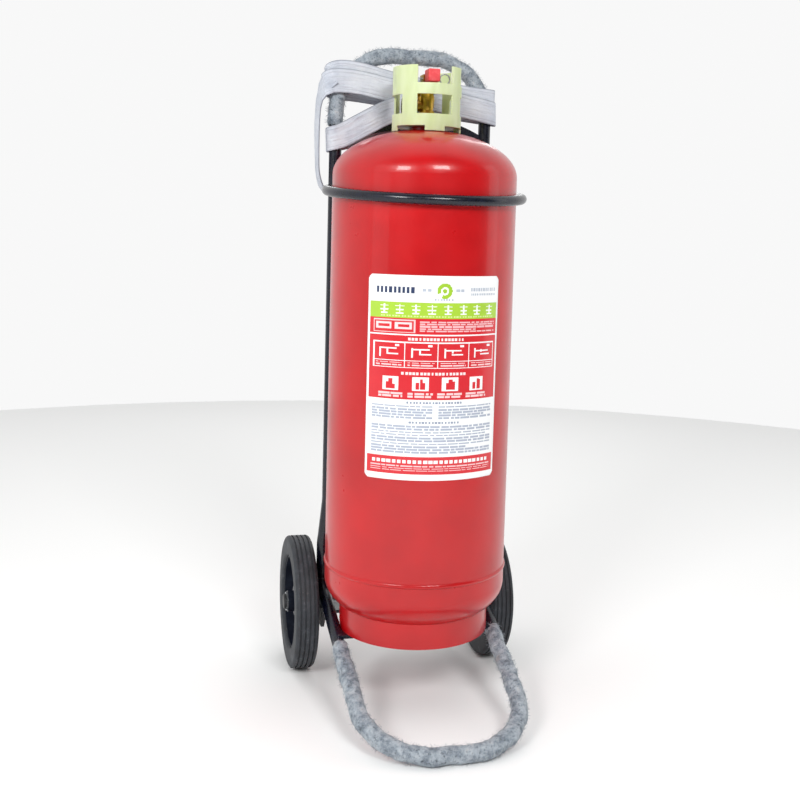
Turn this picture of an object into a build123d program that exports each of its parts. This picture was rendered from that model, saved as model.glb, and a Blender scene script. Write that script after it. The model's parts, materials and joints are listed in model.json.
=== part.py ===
from build123d import *
import math
import os

os.makedirs("parts", exist_ok=True)

# Wheeled dry-powder fire extinguisher, 50 kg size, on a two-wheel tube trolley.
# Millimetres, +Z up, the front faces -Y. While it is modelled, the cylinder's axis is the Z axis.
# Every piece is then moved back by AXIS_Y, which puts the origin on the ground under the middle
# of the trolley.

# ---- driving dimensions: pressure vessel ----
CYL_R = 157.0
CYL_WALL = 3.0
FOOT_Z = 121.0
HEAD_CLEARANCE = 8.5
WELD_Z = 237.0
DOME_Z = 982.5
BEAD_RAISE = 2.2
BEAD_H = 9.0
FOOT_RING_INSET = 27.0
FOOT_RING_WALL = 3.5
BOSS_R = 27.0
BOSS_RISE = 4.5
BOSS_DEPTH = 20.0
THREAD_R = 19.0
LABEL_T = 0.4
LABEL_BOTTOM_Z = 413.0
LABEL_H = 330.0
LABEL_CENTRE_DEG = -4.6
LABEL_HALF_DEG = 42.6

# ---- driving dimensions: guard round the valve ----
GUARD_R = 58.5
GUARD_DOME_GAP = 1.0
GUARD_WALL = 3.2
GUARD_TOP_Z = 1085.0
GUARD_WEB_T = 4.0
GUARD_TAB_H = 8.0
TAB_GAP_HALF_DEG = 28.0
NOTCH_HALF_DEG = 31.0
NOTCH_Z = 1056.0
WINDOW_HALF_DEG = 31.0
WINDOW_LOW_Z = 1006.0
WINDOW_HIGH_Z = 1038.0
REAR_CUT_HALF_DEG = 43.0

# ---- driving dimensions: valve ----
COLUMN_R = 11.0
COLUMN_H = 62.0
CHAMBER_DROP = 48.0
CHAMBER_RISE = 18.0
SEAT_DROP = 8.0
SEAT_T = 4.0
GROOVE_DROP = 6.0
SEAL_R = 2.0
EAR_Y = -4.0
EAR_L = 24.0
SLAB_T = 4.0
PIN_HEAD_R = 4.5
PIN_HEAD_T = 1.5
LEVER_BAR_W = 8.0
LEVER_BAR_H = 9.0
GRIP_OVERLAP = 6.0
GRIP_RISE = 3.0
GRIP_EDGE_R = 2.0
SLOT_GAP = 0.5
SLOT_H = 12.0
PIN_PULL_R = 8.5
PIN_WIRE_R = 1.2
PIN_PULL_STAND = 16.0
PIN_SHANK_SPARE = 10.0
HEX_AF = 46.0
HEX_H = 9.0
SKIRT_H = 16.0
STEM_R = 4.0
RUNNING_GAP = 0.05
SEAT_R = 7.0
CHAMBER_R = 8.0
PIVOT_RISE = 14.0
PIVOT_PIN_R = 3.0
LEVER_HALF_W = 6.9
EAR_T = 4.0
EAR_GAP = 0.3
CAM_HUB_R = 7.0
CAM_LOBE_R = 4.0
CAM_LOBE_OFFSET = 8.0
GRIP_W = 20.0
GRIP_H = 21.0
GRIP_L = 28.0
GRIP_FRONT_Y = -46.0
SAFETY_PIN_R = 2.0
SAFETY_PIN_Y = -11.5
OUTLET_RISE = 42.0
OUTLET_R = 13.0
OUTLET_BORE_R = 9.0
COUPLING_AF = 34.0
COUPLING_L = 18.0
FERRULE_R = 15.0
FERRULE_L = 16.0
GAUGE_R = 18.0
GAUGE_DEPTH = 13.0
GAUGE_RISE = 31.0
GAUGE_STAND = 13.0
GAUGE_SEAT_INSET = 10.0
ADAPTER_AF = 14.0
DIP_TUBE_R = 14.0
DIP_TUBE_WALL = 1.5
DIP_TUBE_FLOOR_GAP = 12.0

# ---- driving dimensions: trolley ----
TUBE_R = 11.0
TUBE_WALL = 1.8
LEG_DEG = 37.73
LEG_GAP = 5.22
LEG_FOOT_GAP = 4.0
LEG_JOGGLE_ZS = (320.0, 240.0)
LEG_JOGGLE_R = 120.0
LEG_END_Z = 205.0
HANDLE_Z = 1118.0
HANDLE_BEND_R = 100.0
HANDLE_WRAP_R = 14.0
HANDLE_WRAP_END_Z = 992.0
HANDLE_WRAP_RIGHT_Z = 1012.0
LOOP_BEND_Z = 163.0
LOOP_REACH = 285.0
LOOP_TAPER = 14.0
LOOP_BEND_R = 112.0
LOOP_HEEL_R = 42.0
FOOT_WRAP_R = 14.5
FOOT_WRAP_START_Y = -47.0
CROSSBAR_H = 28.0
CROSSBAR_T = 6.0
CROSSBAR_END_Z = 968.0
CROSSBAR_MID_Z = 1004.0
HOOP_R = 8.5
HOOP_CLEAR = 0.6
HOOP_FRONT_Z = 862.0
HOOP_LEG_Z = 883.0
CRADLE_H = 40.0
CRADLE_T = 5.0
CRADLE_GAP = 0.4
CRADLE_ZS = (800.0, 330.0)
BASE_BAR_W = 40.0
BASE_BAR_T = 6.0
BASE_BAR_YS = (-22.0, 104.0)
PLATE_T = 6.0
PLATE_FRONT_REACH = 46.0
PLATE_DROP = 32.0
PLATE_BACK_REACH = 26.0
PLATE_CHAMFER = 16.0
PLATE_RISE = 6.0
PLATE_LEG_HALF = 14.0

# ---- driving dimensions: wheels ----
TYRE_R = 120.0
TYRE_W = 41.0
TYRE_INNER_R = 84.0
TYRE_GROOVES = 4
GROOVE_W = 3.0
GROOVE_D = 2.5
AXLE_R = 10.0
HUB_R = 19.0
HUB_L = 42.0
BUSH_WALL = 3.0
RIM_T = 3.0
WASHER_R = 17.0
WASHER_T = 2.5
END_PLAY = 0.3
CAP_R = 14.0
CAP_L = 5.0
CAP_WALL = 3.0
CAP_EDGE_R = 3.0
SPACER_L = 11.7
AXLE_BEHIND_RING = 9.0
DISH_FRONT = 8.0
DISH_BACK = -4.0
DISH_HUB_REACH = 22.0
SEAT_INSET = 6.0
SHOULDER_R = 6.5

# ---- driving dimensions: hose and nozzle ----
HOSE_EXIT_Y = 64.0
HOSE_W = 42.0
HOSE_T = 3.6
TURN_T = 6.0
TURN_GAP = 0.5
TURNS_TOP = (1104.0, 1062.0)
TURNS_BOTTOM = (1036.0, 1002.0)
HOSE_FOLDED_R = 7.0
LEAD_BEND_R = 14.0
LEAD_Z = (969.0, 1032.0)
BACK_RUN_Z = 986.0
LEAD_STOP = 40.0
HANK_X = 20.0
HANK_GAP = 12.0
HANK_TOP_Z = 880.0
HANK_H = 470.0
HANK_R = 88.0
HANK_T = 26.0
HANGER_T = 3.0
HANGER_SPARE = 6.0
HANGER_LIP_H = 8.0
STRUT_W = 24.0
STRUT_T = 6.0
POST_L = 30.0
HANGER_HALF_DEG = 62.0
NOZZLE_R = 14.0
NOZZLE_L = 150.0
NOZZLE_TIP_L = 90.0
NOZZLE_TOP_Z = 720.0
NOZZLE_WALL = 4.0
NOZZLE_COLLAR_L = 22.0
TRIGGER_OFFSET = 8.0
TRIGGER_DROP = 40.0
TRIGGER_W = 6.0
TRIGGER_L = 60.0
TRIGGER_SPLAY_DEG = 14.0
TRIGGER_PIN_R = 1.5
TRIGGER_HUB_R = 3.2
TRIGGER_T = 4.0
CHEEK_W = 14.0
CHEEK_H = 12.0
CLIP_T = 2.0
CLIP_STRUT_W = 14.0
CLIP_H = 24.0
CLIP_OPEN_HALF_DEG = 60.0

# ---- worked out from the driving dimensions ----
HEAD_H = CYL_R / 2
LOWER_TANGENT_Z = FOOT_Z + HEAD_CLEARANCE + HEAD_H
UPPER_TANGENT_Z = DOME_Z - HEAD_H
FOOT_RING_R = CYL_R - FOOT_RING_INSET
LEG_X = round((CYL_R + TUBE_R + LEG_GAP) * math.cos(math.radians(LEG_DEG)), 1)
LEG_Y = round((CYL_R + TUBE_R + LEG_GAP) * math.sin(math.radians(LEG_DEG)), 1)
LEG_FOOT_X = FOOT_RING_R + TUBE_R + LEG_FOOT_GAP
LOOP_HALF_W = LEG_FOOT_X - LOOP_TAPER
AXLE_Y = FOOT_RING_R + AXLE_R + AXLE_BEHIND_RING
WHEEL_X = LEG_FOOT_X + PLATE_T / 2 + SPACER_L + END_PLAY + HUB_L / 2
HANK_Y = CYL_R + HOSE_W / 2 + HANK_GAP
AXIS_Y = (LOOP_REACH + FOOT_WRAP_R - AXLE_Y - TYRE_R) / 2
BOSS_TOP_Z = DOME_Z + BOSS_RISE
HEX_Z = BOSS_TOP_Z + GUARD_WEB_T
COLUMN_Z = HEX_Z + HEX_H
COLUMN_TOP_Z = HEX_Z + COLUMN_H
PIVOT_Z = COLUMN_TOP_Z + PIVOT_RISE
STEM_TOP_Z = PIVOT_Z - CAM_HUB_R - 1.0
OUTLET_Z = HEX_Z + OUTLET_RISE
GAUGE_Z = HEX_Z + GAUGE_RISE
GAUGE_SEAT_X = HEX_AF / 2 - GAUGE_SEAT_INSET
AXLE_Z = TYRE_R
LOOP_FRONT_Z = FOOT_WRAP_R
HUB_BORE_R = AXLE_R + RUNNING_GAP + BUSH_WALL
TURN_INNER_R = HANDLE_WRAP_R + TURN_GAP
TURN_MID_R = TURN_INNER_R + HOSE_T / 2


def save(name, part):
    """Write one piece, moved so that the origin is under the middle of the trolley."""
    export_step(Pos(0, AXIS_Y, 0) * part, f"parts/{name}.step")


def head_z(radius, outer=CYL_R):
    """Height of an elliptical end above its tangent line, at a radius from the axis."""
    return (outer / 2) * math.sqrt(max(0.0, 1 - (radius / outer) ** 2))


def ring(outer, inner, z_low, z_high):
    """Upright tube between two heights."""
    mid = (z_low + z_high) / 2
    height = z_high - z_low
    return Pos(0, 0, mid) * (Cylinder(outer, height) - Cylinder(inner, height + 2))


def disc(radius, z_low, z_high):
    """Upright solid round bar between two heights."""
    return Pos(0, 0, (z_low + z_high) / 2) * Cylinder(radius, z_high - z_low)


def hexagon(across_flats, z_low, z_high):
    """Upright hexagonal prism between two heights."""
    face = RegularPolygon(across_flats / 2, 6, major_radius=False)
    return Pos(0, 0, z_low) * extrude(face, z_high - z_low)


def wedge(half_deg, reach, z_low, z_high, turn_deg=0.0):
    """Sector about the front direction, used to cut windows; turn_deg is towards +X."""
    tip = reach / math.cos(math.radians(half_deg))
    dx = tip * math.sin(math.radians(half_deg))
    dy = tip * math.cos(math.radians(half_deg))
    face = make_face(Polyline((0, 0), (dx, -dy), (-dx, -dy), close=True))
    return Pos(0, 0, z_low) * Rot(0, 0, turn_deg) * extrude(face, z_high - z_low)


def lying(part, direction_deg, z):
    """Turn an upright piece so that its +Z points outwards; 0 degrees is +X, 90 is +Y."""
    return Pos(0, 0, z) * Rot(0, 0, direction_deg) * Rot(0, 90, 0) * part


def across(part, x, y, z):
    """Lay an upright piece along X with its middle at a point."""
    return Pos(x, y, z) * Rot(0, 90, 0) * part


def pipe(path, radius, inner=0.0):
    """Round tube or bar along a path."""
    section = Circle(radius)
    if inner > 0:
        section -= Circle(inner)
    start = Plane(origin=path @ 0, z_dir=path % 0)
    return sweep(start * section, path=path)


# ---- pressure vessel ----
def vessel(radius):
    """Solid bounded by a cylinder with two elliptical ends of half the radius."""
    head = CYL_R / 2 - (CYL_R - radius)
    height = UPPER_TANGENT_Z - LOWER_TANGENT_Z
    half = Pos(radius / 2, height / 2) * Rectangle(radius, height)
    corner = Rectangle(radius, 2 * head, align=(Align.MIN, Align.CENTER))
    dome = Ellipse(radius, head) & corner
    face = half + dome + Pos(0, height) * dome
    return Pos(0, 0, LOWER_TANGENT_Z) * revolve(Plane.XZ * face, Axis.Z)


def weld_bead():
    """Raised rounded band where the lower end meets the shell."""
    face = Ellipse(BEAD_RAISE + CYL_WALL / 2, BEAD_H / 2)
    face &= Pos(BEAD_RAISE, 0) * Rectangle(2 * BEAD_RAISE, BEAD_H)
    centre = CYL_R - CYL_WALL / 2
    return revolve(Plane.XZ * (Pos(centre, WELD_Z) * face), Axis.Z)


def make_vessel():
    outer = vessel(CYL_R)
    inner = vessel(CYL_R - CYL_WALL)
    walls = outer - inner
    above = Pos(0, 0, WELD_Z + HANDLE_Z / 2) * Box(4 * CYL_R, 4 * CYL_R, HANDLE_Z)
    boss_low = BOSS_TOP_Z - BOSS_DEPTH
    boss_hole = disc(BOSS_R, boss_low, BOSS_TOP_Z + 1)
    rise = (weld_bead() - outer) & above
    save("cylinder_shell", (walls & above) + rise - boss_hole)
    lower = (weld_bead() - outer) - above
    save("lower_head", (walls - above) + lower)
    boss = ring(BOSS_R, THREAD_R, boss_low, BOSS_TOP_Z)
    boss = chamfer(boss.edges().filter_by(GeomType.CIRCLE).group_by(Axis.Z)[-1][-1], 1.0)
    save("neck_boss", boss)
    ring_top = LOWER_TANGENT_Z - head_z(FOOT_RING_R - FOOT_RING_WALL) + 10
    foot = ring(FOOT_RING_R, FOOT_RING_R - FOOT_RING_WALL, FOOT_Z, ring_top) - outer
    drain = across(Cylinder(7, 4 * CYL_R), 0, 0, FOOT_Z + 16)
    save("foot_ring", foot - drain)


def make_label():
    """Thin printed sheet bonded to the front of the cylinder."""
    low, high = LABEL_BOTTOM_Z, LABEL_BOTTOM_Z + LABEL_H
    sheet = ring(CYL_R + LABEL_T, CYL_R, low, high)
    save("front_label", sheet & wedge(LABEL_HALF_DEG, 1.2 * CYL_R, low, high, LABEL_CENTRE_DEG))


# ---- guard ----
def make_guard():
    """Moulded crown: four posts, four windows and tabs that stand on the dome."""
    inner = GUARD_R - GUARD_WALL
    low = UPPER_TANGENT_Z + head_z(inner) + GUARD_DOME_GAP
    guard = ring(GUARD_R, inner, low, GUARD_TOP_Z)
    guard += ring(inner, THREAD_R, BOSS_TOP_Z, HEX_Z)
    reach = 1.2 * GUARD_R
    for turn in (0, 90, 180):
        guard -= wedge(NOTCH_HALF_DEG, reach, NOTCH_Z, GUARD_TOP_Z + 1, turn)
    for turn in range(0, 360, 90):
        guard -= wedge(TAB_GAP_HALF_DEG, reach, low - 1, low + GUARD_TAB_H, turn + 45)
    for turn in (-90, 0, 90):
        guard -= wedge(WINDOW_HALF_DEG, reach, WINDOW_LOW_Z, WINDOW_HIGH_Z, turn)
    guard -= wedge(REAR_CUT_HALF_DEG, reach, WINDOW_LOW_Z, NOTCH_Z + 1, 180)
    save("valve_guard", guard)


# ---- valve ----
def make_valve():
    body = disc(THREAD_R, BOSS_TOP_Z - BOSS_DEPTH, HEX_Z)
    body += hexagon(HEX_AF, HEX_Z, COLUMN_Z)
    skirt = Pos(0, 0, COLUMN_Z + SKIRT_H / 2) * Cone(HEX_AF / 2 - SEAL_R, COLUMN_R, SKIRT_H)
    body += skirt + disc(COLUMN_R, COLUMN_Z, COLUMN_TOP_Z)
    ear_x = LEVER_HALF_W + EAR_GAP + EAR_T / 2
    ear_h = PIVOT_Z + CAM_HUB_R - COLUMN_TOP_Z
    for side in (-1, 1):
        ear = Pos(side * ear_x, EAR_Y, COLUMN_TOP_Z + ear_h / 2) * Box(EAR_T, EAR_L, ear_h)
        body += ear
    slab = 2 * (LEVER_HALF_W + EAR_GAP + EAR_T)
    body += Pos(0, EAR_Y, COLUMN_TOP_Z - SLAB_T / 2) * Box(slab, EAR_L, SLAB_T)
    outlet_l = COUPLING_L + COLUMN_R + 8
    body += lying(disc(OUTLET_R, 0, outlet_l), 90, OUTLET_Z)
    body += lying(disc(ADAPTER_AF / 2, 0, GAUGE_SEAT_X), 180, GAUGE_Z)
    body -= lying(disc(OUTLET_BORE_R, 0, outlet_l + 1), 90, OUTLET_Z)
    chamber_z = STEM_TOP_Z - CHAMBER_DROP
    body -= disc(CHAMBER_R, BOSS_TOP_Z - BOSS_DEPTH - 1, chamber_z + CHAMBER_RISE)
    body -= disc(STEM_R + RUNNING_GAP, chamber_z, COLUMN_TOP_Z + 1)
    body -= across(Cylinder(PIVOT_PIN_R, slab + 2), 0, 0, PIVOT_Z)
    body -= across(Cylinder(SAFETY_PIN_R + RUNNING_GAP, slab + 2), 0, SAFETY_PIN_Y, PIVOT_Z)
    groove_z = BOSS_TOP_Z - GROOVE_DROP
    groove = ring(THREAD_R, THREAD_R - SEAL_R, groove_z, groove_z + GROOVE_DROP / 2)
    save("valve_body", body - groove)
    save("neck_o_ring", groove)
    stem = disc(STEM_R, chamber_z + SEAT_T, STEM_TOP_Z)
    save("valve_stem", stem)
    seat_z = chamber_z + SEAT_DROP
    seat = ring(SEAT_R, STEM_R, seat_z, seat_z + SEAT_T)
    save("stem_seal", seat)
    tube_top = BOSS_TOP_Z - BOSS_DEPTH
    tube_low = LOWER_TANGENT_Z - HEAD_H + CYL_WALL + DIP_TUBE_FLOOR_GAP
    save("dip_tube", ring(DIP_TUBE_R, DIP_TUBE_R - DIP_TUBE_WALL, tube_low, tube_top))


def make_lever():
    """Lift lever: cam hub between two ears, bar to the front, square sleeve on its end."""
    width = 2 * LEVER_HALF_W
    hub = across(Cylinder(CAM_HUB_R, width), 0, 0, PIVOT_Z)
    lobe = across(Cylinder(CAM_LOBE_R, width), 0, CAM_LOBE_OFFSET, PIVOT_Z)
    web = Pos(0, CAM_LOBE_OFFSET / 2, PIVOT_Z) * Box(width, CAM_LOBE_OFFSET, 2 * CAM_LOBE_R)
    bar_end = GRIP_FRONT_Y + GRIP_OVERLAP
    bar = Pos(0, bar_end / 2, PIVOT_Z + SLOT_GAP) * Box(LEVER_BAR_W, -bar_end, LEVER_BAR_H)
    lever = hub + lobe + web + bar
    slot_r = SAFETY_PIN_R + SLOT_GAP
    slot = across(Cylinder(slot_r, width + 2), 0, SAFETY_PIN_Y, PIVOT_Z)
    slot_l = -SAFETY_PIN_Y + slot_r - CAM_HUB_R - SLOT_GAP
    slot_y = SAFETY_PIN_Y - slot_r + slot_l / 2
    slot += Pos(0, slot_y, PIVOT_Z - SLOT_H / 2) * Box(width + 2, slot_l, SLOT_H)
    lever -= slot
    lever -= across(Cylinder(PIVOT_PIN_R + RUNNING_GAP, width + 2), 0, 0, PIVOT_Z)
    grip = Pos(0, GRIP_FRONT_Y + GRIP_L / 2, PIVOT_Z + GRIP_RISE) * Box(GRIP_W, GRIP_L, GRIP_H)
    grip = fillet(grip.edges(), GRIP_EDGE_R)
    save("valve_lever", lever)
    save("lever_grip", grip - lever - bar)
    slab = 2 * (LEVER_HALF_W + EAR_GAP + EAR_T)
    pin = across(Cylinder(PIVOT_PIN_R, slab), 0, 0, PIVOT_Z)
    for side in (-1, 1):
        head_x = side * (slab + PIN_HEAD_T) / 2
        pin += across(Cylinder(PIN_HEAD_R, PIN_HEAD_T), head_x, 0, PIVOT_Z)
    save("lever_pivot_pin", pin)
    shank = across(Cylinder(SAFETY_PIN_R, slab + PIN_SHANK_SPARE), 3, SAFETY_PIN_Y, PIVOT_Z)
    pull = Rot(90, 0, 0) * Torus(PIN_PULL_R, PIN_WIRE_R)
    pull = Pos(slab / 2 + PIN_PULL_STAND, SAFETY_PIN_Y, PIVOT_Z + 1) * pull
    save("safety_pin", shank + pull)


def make_outlet():
    """Coupling nut, tail and crimped ferrule that hold the start of the hose."""
    near = COLUMN_R + 6
    nut_end = near + COUPLING_L
    nut = lying(hexagon(COUPLING_AF, near, nut_end), 90, OUTLET_Z)
    nut -= lying(disc(OUTLET_R, near - 1, nut_end + 1), 90, OUTLET_Z)
    save("coupling_nut", nut)
    tail_start = COUPLING_L + COLUMN_R + 8
    tail = lying(ring(OUTLET_R, OUTLET_BORE_R, tail_start, nut_end + 4), 90, OUTLET_Z)
    tail += lying(ring(OUTLET_R - 2, OUTLET_BORE_R, nut_end + 4, HOSE_EXIT_Y), 90, OUTLET_Z)
    save("hose_tail", tail)
    ferrule = lying(ring(FERRULE_R, OUTLET_R - 2, HOSE_EXIT_Y - FERRULE_L, HOSE_EXIT_Y), 90, OUTLET_Z)
    save("hose_ferrule", ferrule)


def make_gauge():
    """Pressure gauge on a hexagonal adapter in the left side of the valve."""
    near = GAUGE_SEAT_X + GAUGE_STAND
    back = near + 2
    front = back + GAUGE_DEPTH
    adapter = hexagon(ADAPTER_AF, GAUGE_SEAT_X, near - 2) + disc(5.0, near - 2, near)
    save("gauge_adapter", lying(adapter, 180, GAUGE_Z))
    case = disc(3.5, near, back) + disc(GAUGE_R, back, front)
    case -= disc(GAUGE_R - 2, back + 2, front + 1)
    case += disc(1.0, back + 1.5, front - 5.5)
    save("gauge_case", lying(case, 180, GAUGE_Z))
    dial = ring(GAUGE_R - 2, 1.0, back + 2, back + 3)
    save("gauge_dial", lying(dial, 180, GAUGE_Z))
    hub_low = back + 4
    needle = ring(2.2, 1.0 + RUNNING_GAP, hub_low, hub_low + 2)
    pointer = Pos((GAUGE_R - 4) / 2, 0, hub_low + 1) * Box(GAUGE_R - 4, 1.2, 1)
    needle = needle + pointer - disc(1.0 + RUNNING_GAP, hub_low - 1, hub_low + 3)
    save("gauge_needle", lying(Rot(0, 0, 180) * needle, 180, GAUGE_Z))
    save("gauge_lens", lying(disc(GAUGE_R - 2, front - 2, front - 0.5), 180, GAUGE_Z))


# ---- trolley ----
def handle_path(left_z, right_z):
    """Centre line of the handle's arch, from a height on one leg to a height on the other."""
    return FilletPolyline(
        (-LEG_X, LEG_Y, left_z),
        (-LEG_X, LEG_Y, HANDLE_Z),
        (LEG_X, LEG_Y, HANDLE_Z),
        (LEG_X, LEG_Y, right_z),
        radius=HANDLE_BEND_R,
    )


def frame_path():
    """Centre line of the whole handle: the legs are set outwards low down, past the foot ring."""
    right = [
        (LEG_X, LEG_Y, HANDLE_Z),
        (LEG_X, LEG_Y, LEG_JOGGLE_ZS[0]),
        (LEG_FOOT_X, LEG_Y, LEG_JOGGLE_ZS[1]),
        (LEG_FOOT_X, LEG_Y, LEG_END_Z),
    ]
    left = [mirrored(point) for point in reversed(right)]
    bends = [LEG_JOGGLE_R, LEG_JOGGLE_R, HANDLE_BEND_R]
    return FilletPolyline(*left, *right, radius=bends + bends[::-1])


def loop_point(y):
    """Point of the loop's straight right side at a distance from the cylinder's axis."""
    share = (LEG_Y - y) / (LEG_Y + LOOP_REACH)
    x = LEG_FOOT_X + share * (LOOP_HALF_W - LEG_FOOT_X)
    z = LOOP_BEND_Z + share * (LOOP_FRONT_Z - LOOP_BEND_Z)
    return (x, y, z)


def mirrored(point):
    return (-point[0], point[1], point[2])


def foot_path():
    """Centre line of the whole foot loop, between the ends of the two legs."""
    end = (LEG_FOOT_X, LEG_Y, LEG_END_Z)
    heel = loop_point(LEG_Y)
    toe = loop_point(-LOOP_REACH)
    points = [mirrored(end), mirrored(heel), mirrored(toe), toe, heel, end]
    return FilletPolyline(*points, radius=[LOOP_HEEL_R, LOOP_BEND_R, LOOP_BEND_R, LOOP_HEEL_R])


def wrap_path():
    """Centre line of the padded part of the foot loop."""
    start = loop_point(FOOT_WRAP_START_Y)
    toe = loop_point(-LOOP_REACH)
    return FilletPolyline(mirrored(start), mirrored(toe), toe, start, radius=LOOP_BEND_R)


def make_frame():
    bore = TUBE_R - TUBE_WALL
    save("handle_frame", pipe(frame_path(), TUBE_R, bore))
    save("foot_loop", pipe(foot_path(), TUBE_R, bore))
    wrap = pipe(handle_path(HANDLE_WRAP_END_Z, HANDLE_WRAP_RIGHT_Z), HANDLE_WRAP_R, TUBE_R)
    save("handle_wrap", wrap)
    save("foot_wrap", pipe(wrap_path(), FOOT_WRAP_R, TUBE_R))
    legs = pipe(frame_path(), TUBE_R)
    loop = pipe(foot_path(), TUBE_R)
    make_crossbar(legs)
    make_hoop(legs)
    make_cradles(legs)
    make_base(legs, loop)


def make_crossbar(legs):
    """Flat bar between the legs, arched over the shoulder of the cylinder."""
    half = LEG_X
    low = ThreePointArc((-half, CROSSBAR_END_Z), (0, CROSSBAR_MID_Z), (half, CROSSBAR_END_Z))
    high = Pos(0, CROSSBAR_H) * low
    sides = [Line(low @ 0, high @ 0), Line(low @ 1, high @ 1)]
    face = Plane.XZ * Pos(0, -CROSSBAR_H / 2) * make_face([low, high] + sides)
    bar = Pos(0, LEG_Y + CROSSBAR_T / 2, 0) * extrude(face, CROSSBAR_T)
    save("upper_crossbar", bar - legs)


def make_hoop(legs):
    """Round bar that holds the cylinder to the legs, lower at the front than at the legs."""
    centre_r = CYL_R + HOOP_CLEAR + HOOP_R
    tilt = math.degrees(math.atan2(HOOP_LEG_Z - HOOP_FRONT_Z, centre_r + LEG_Y))
    torus = Torus(centre_r, HOOP_R)
    leg_angle = math.atan2(LEG_Y, LEG_X)
    cut_y = centre_r * math.sin(leg_angle)
    torus -= Pos(0, cut_y + CYL_R, 0) * Box(4 * CYL_R, 2 * CYL_R, 4 * HOOP_R)
    middle_z = HOOP_FRONT_Z + centre_r * math.tan(math.radians(tilt))
    hoop = Pos(0, 0, middle_z) * Rot(tilt, 0, 0) * torus
    save("retaining_hoop", hoop - legs)


def make_cradles(legs):
    """Curved flat bars behind the cylinder, from leg to leg."""
    for name, z in zip(("upper_cradle", "lower_cradle"), CRADLE_ZS):
        inner = CYL_R + CRADLE_GAP
        band = ring(inner + CRADLE_T, inner, z - CRADLE_H / 2, z + CRADLE_H / 2)
        angle = math.degrees(math.atan2(LEG_X, LEG_Y))
        band &= wedge(angle, 3 * CYL_R, z - CRADLE_H, z + CRADLE_H, 180)
        save(name, band - legs)


def make_base(legs, loop):
    """Plates that carry the axle, and the two bars that the cylinder stands on."""
    back_y = AXLE_Y + PLATE_BACK_REACH
    low_z = AXLE_Z - PLATE_DROP
    top_z = LEG_END_Z + PLATE_RISE
    near_y = LEG_Y - TUBE_R + 1
    outline = Polyline(
        (LEG_Y - PLATE_FRONT_REACH, LOOP_BEND_Z - 2 * TUBE_R),
        (LEG_Y - PLATE_LEG_HALF, low_z),
        (back_y - PLATE_CHAMFER, low_z),
        (back_y, low_z + PLATE_CHAMFER),
        (back_y, AXLE_Z + 2 * TUBE_R),
        (LEG_Y + PLATE_LEG_HALF, top_z),
        (near_y, top_z),
        (near_y, LOOP_BEND_Z),
        close=True,
    )
    blank = extrude(Plane.YZ * make_face(outline), PLATE_T / 2, both=True)
    bars = []
    for y in BASE_BAR_YS:
        length = 2 * loop_point(y)[0]
        bars.append(Pos(0, y, FOOT_Z - BASE_BAR_T / 2) * Box(length, BASE_BAR_W, BASE_BAR_T))
    for side, name in ((-1, "left"), (1, "right")):
        plate = Pos(side * LEG_FOOT_X, 0, 0) * blank
        plate -= across(Cylinder(AXLE_R, 4 * PLATE_T), side * LEG_FOOT_X, AXLE_Y, AXLE_Z)
        save(f"axle_plate_{name}", plate - legs - loop)
        bars[1] -= plate
    trim = 2 * (LEG_FOOT_X - PLATE_T / 2)
    bars[1] &= Pos(0, BASE_BAR_YS[1], FOOT_Z) * Box(trim, 2 * BASE_BAR_W, 4 * BASE_BAR_T)
    save("front_base_bar", bars[0] - loop)
    save("rear_base_bar", bars[1] - loop)


# ---- wheels ----
def make_axle():
    half = WHEEL_X + HUB_L / 2 + END_PLAY + WASHER_T + CAP_L - CAP_WALL
    save("axle", across(Cylinder(AXLE_R, 2 * half), 0, AXLE_Y, AXLE_Z))
    for side, name in ((-1, "left"), (1, "right")):
        plate_x = LEG_FOOT_X + PLATE_T / 2
        hub_x = WHEEL_X - HUB_L / 2 - END_PLAY
        spacer = ring(WASHER_R, AXLE_R, plate_x, hub_x)
        save(f"wheel_spacer_{name}", across(Rot(0, 90 * side - 90, 0) * spacer, 0, AXLE_Y, AXLE_Z))
        washer_x = WHEEL_X + HUB_L / 2 + END_PLAY
        washer = ring(WASHER_R, AXLE_R, washer_x, washer_x + WASHER_T)
        save(f"wheel_washer_{name}", across(Rot(0, 90 * side - 90, 0) * washer, 0, AXLE_Y, AXLE_Z))
        cap_x = washer_x + WASHER_T + CAP_L / 2
        cap = across(Cylinder(CAP_R, CAP_L), side * cap_x, AXLE_Y, AXLE_Z)
        cap = fillet(cap.edges().group_by(Axis.X)[-1 if side > 0 else 0], CAP_EDGE_R)
        save(f"axle_cap_{name}", cap - across(Cylinder(AXLE_R, 2 * half), 0, AXLE_Y, AXLE_Z))


def tyre():
    """Solid rubber tyre with rounded shoulders and straight grooves round the tread."""
    height = TYRE_R - TYRE_INNER_R
    face = Pos(TYRE_INNER_R + height / 2, 0) * RectangleRounded(height, TYRE_W, SHOULDER_R)
    pitch = TYRE_W / (TYRE_GROOVES + 1)
    for index in range(TYRE_GROOVES):
        z = (index - (TYRE_GROOVES - 1) / 2) * pitch
        face -= Pos(TYRE_R, z) * Rectangle(2 * GROOVE_D, GROOVE_W)
    return revolve(Plane.XZ * face, Axis.Z)


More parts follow.
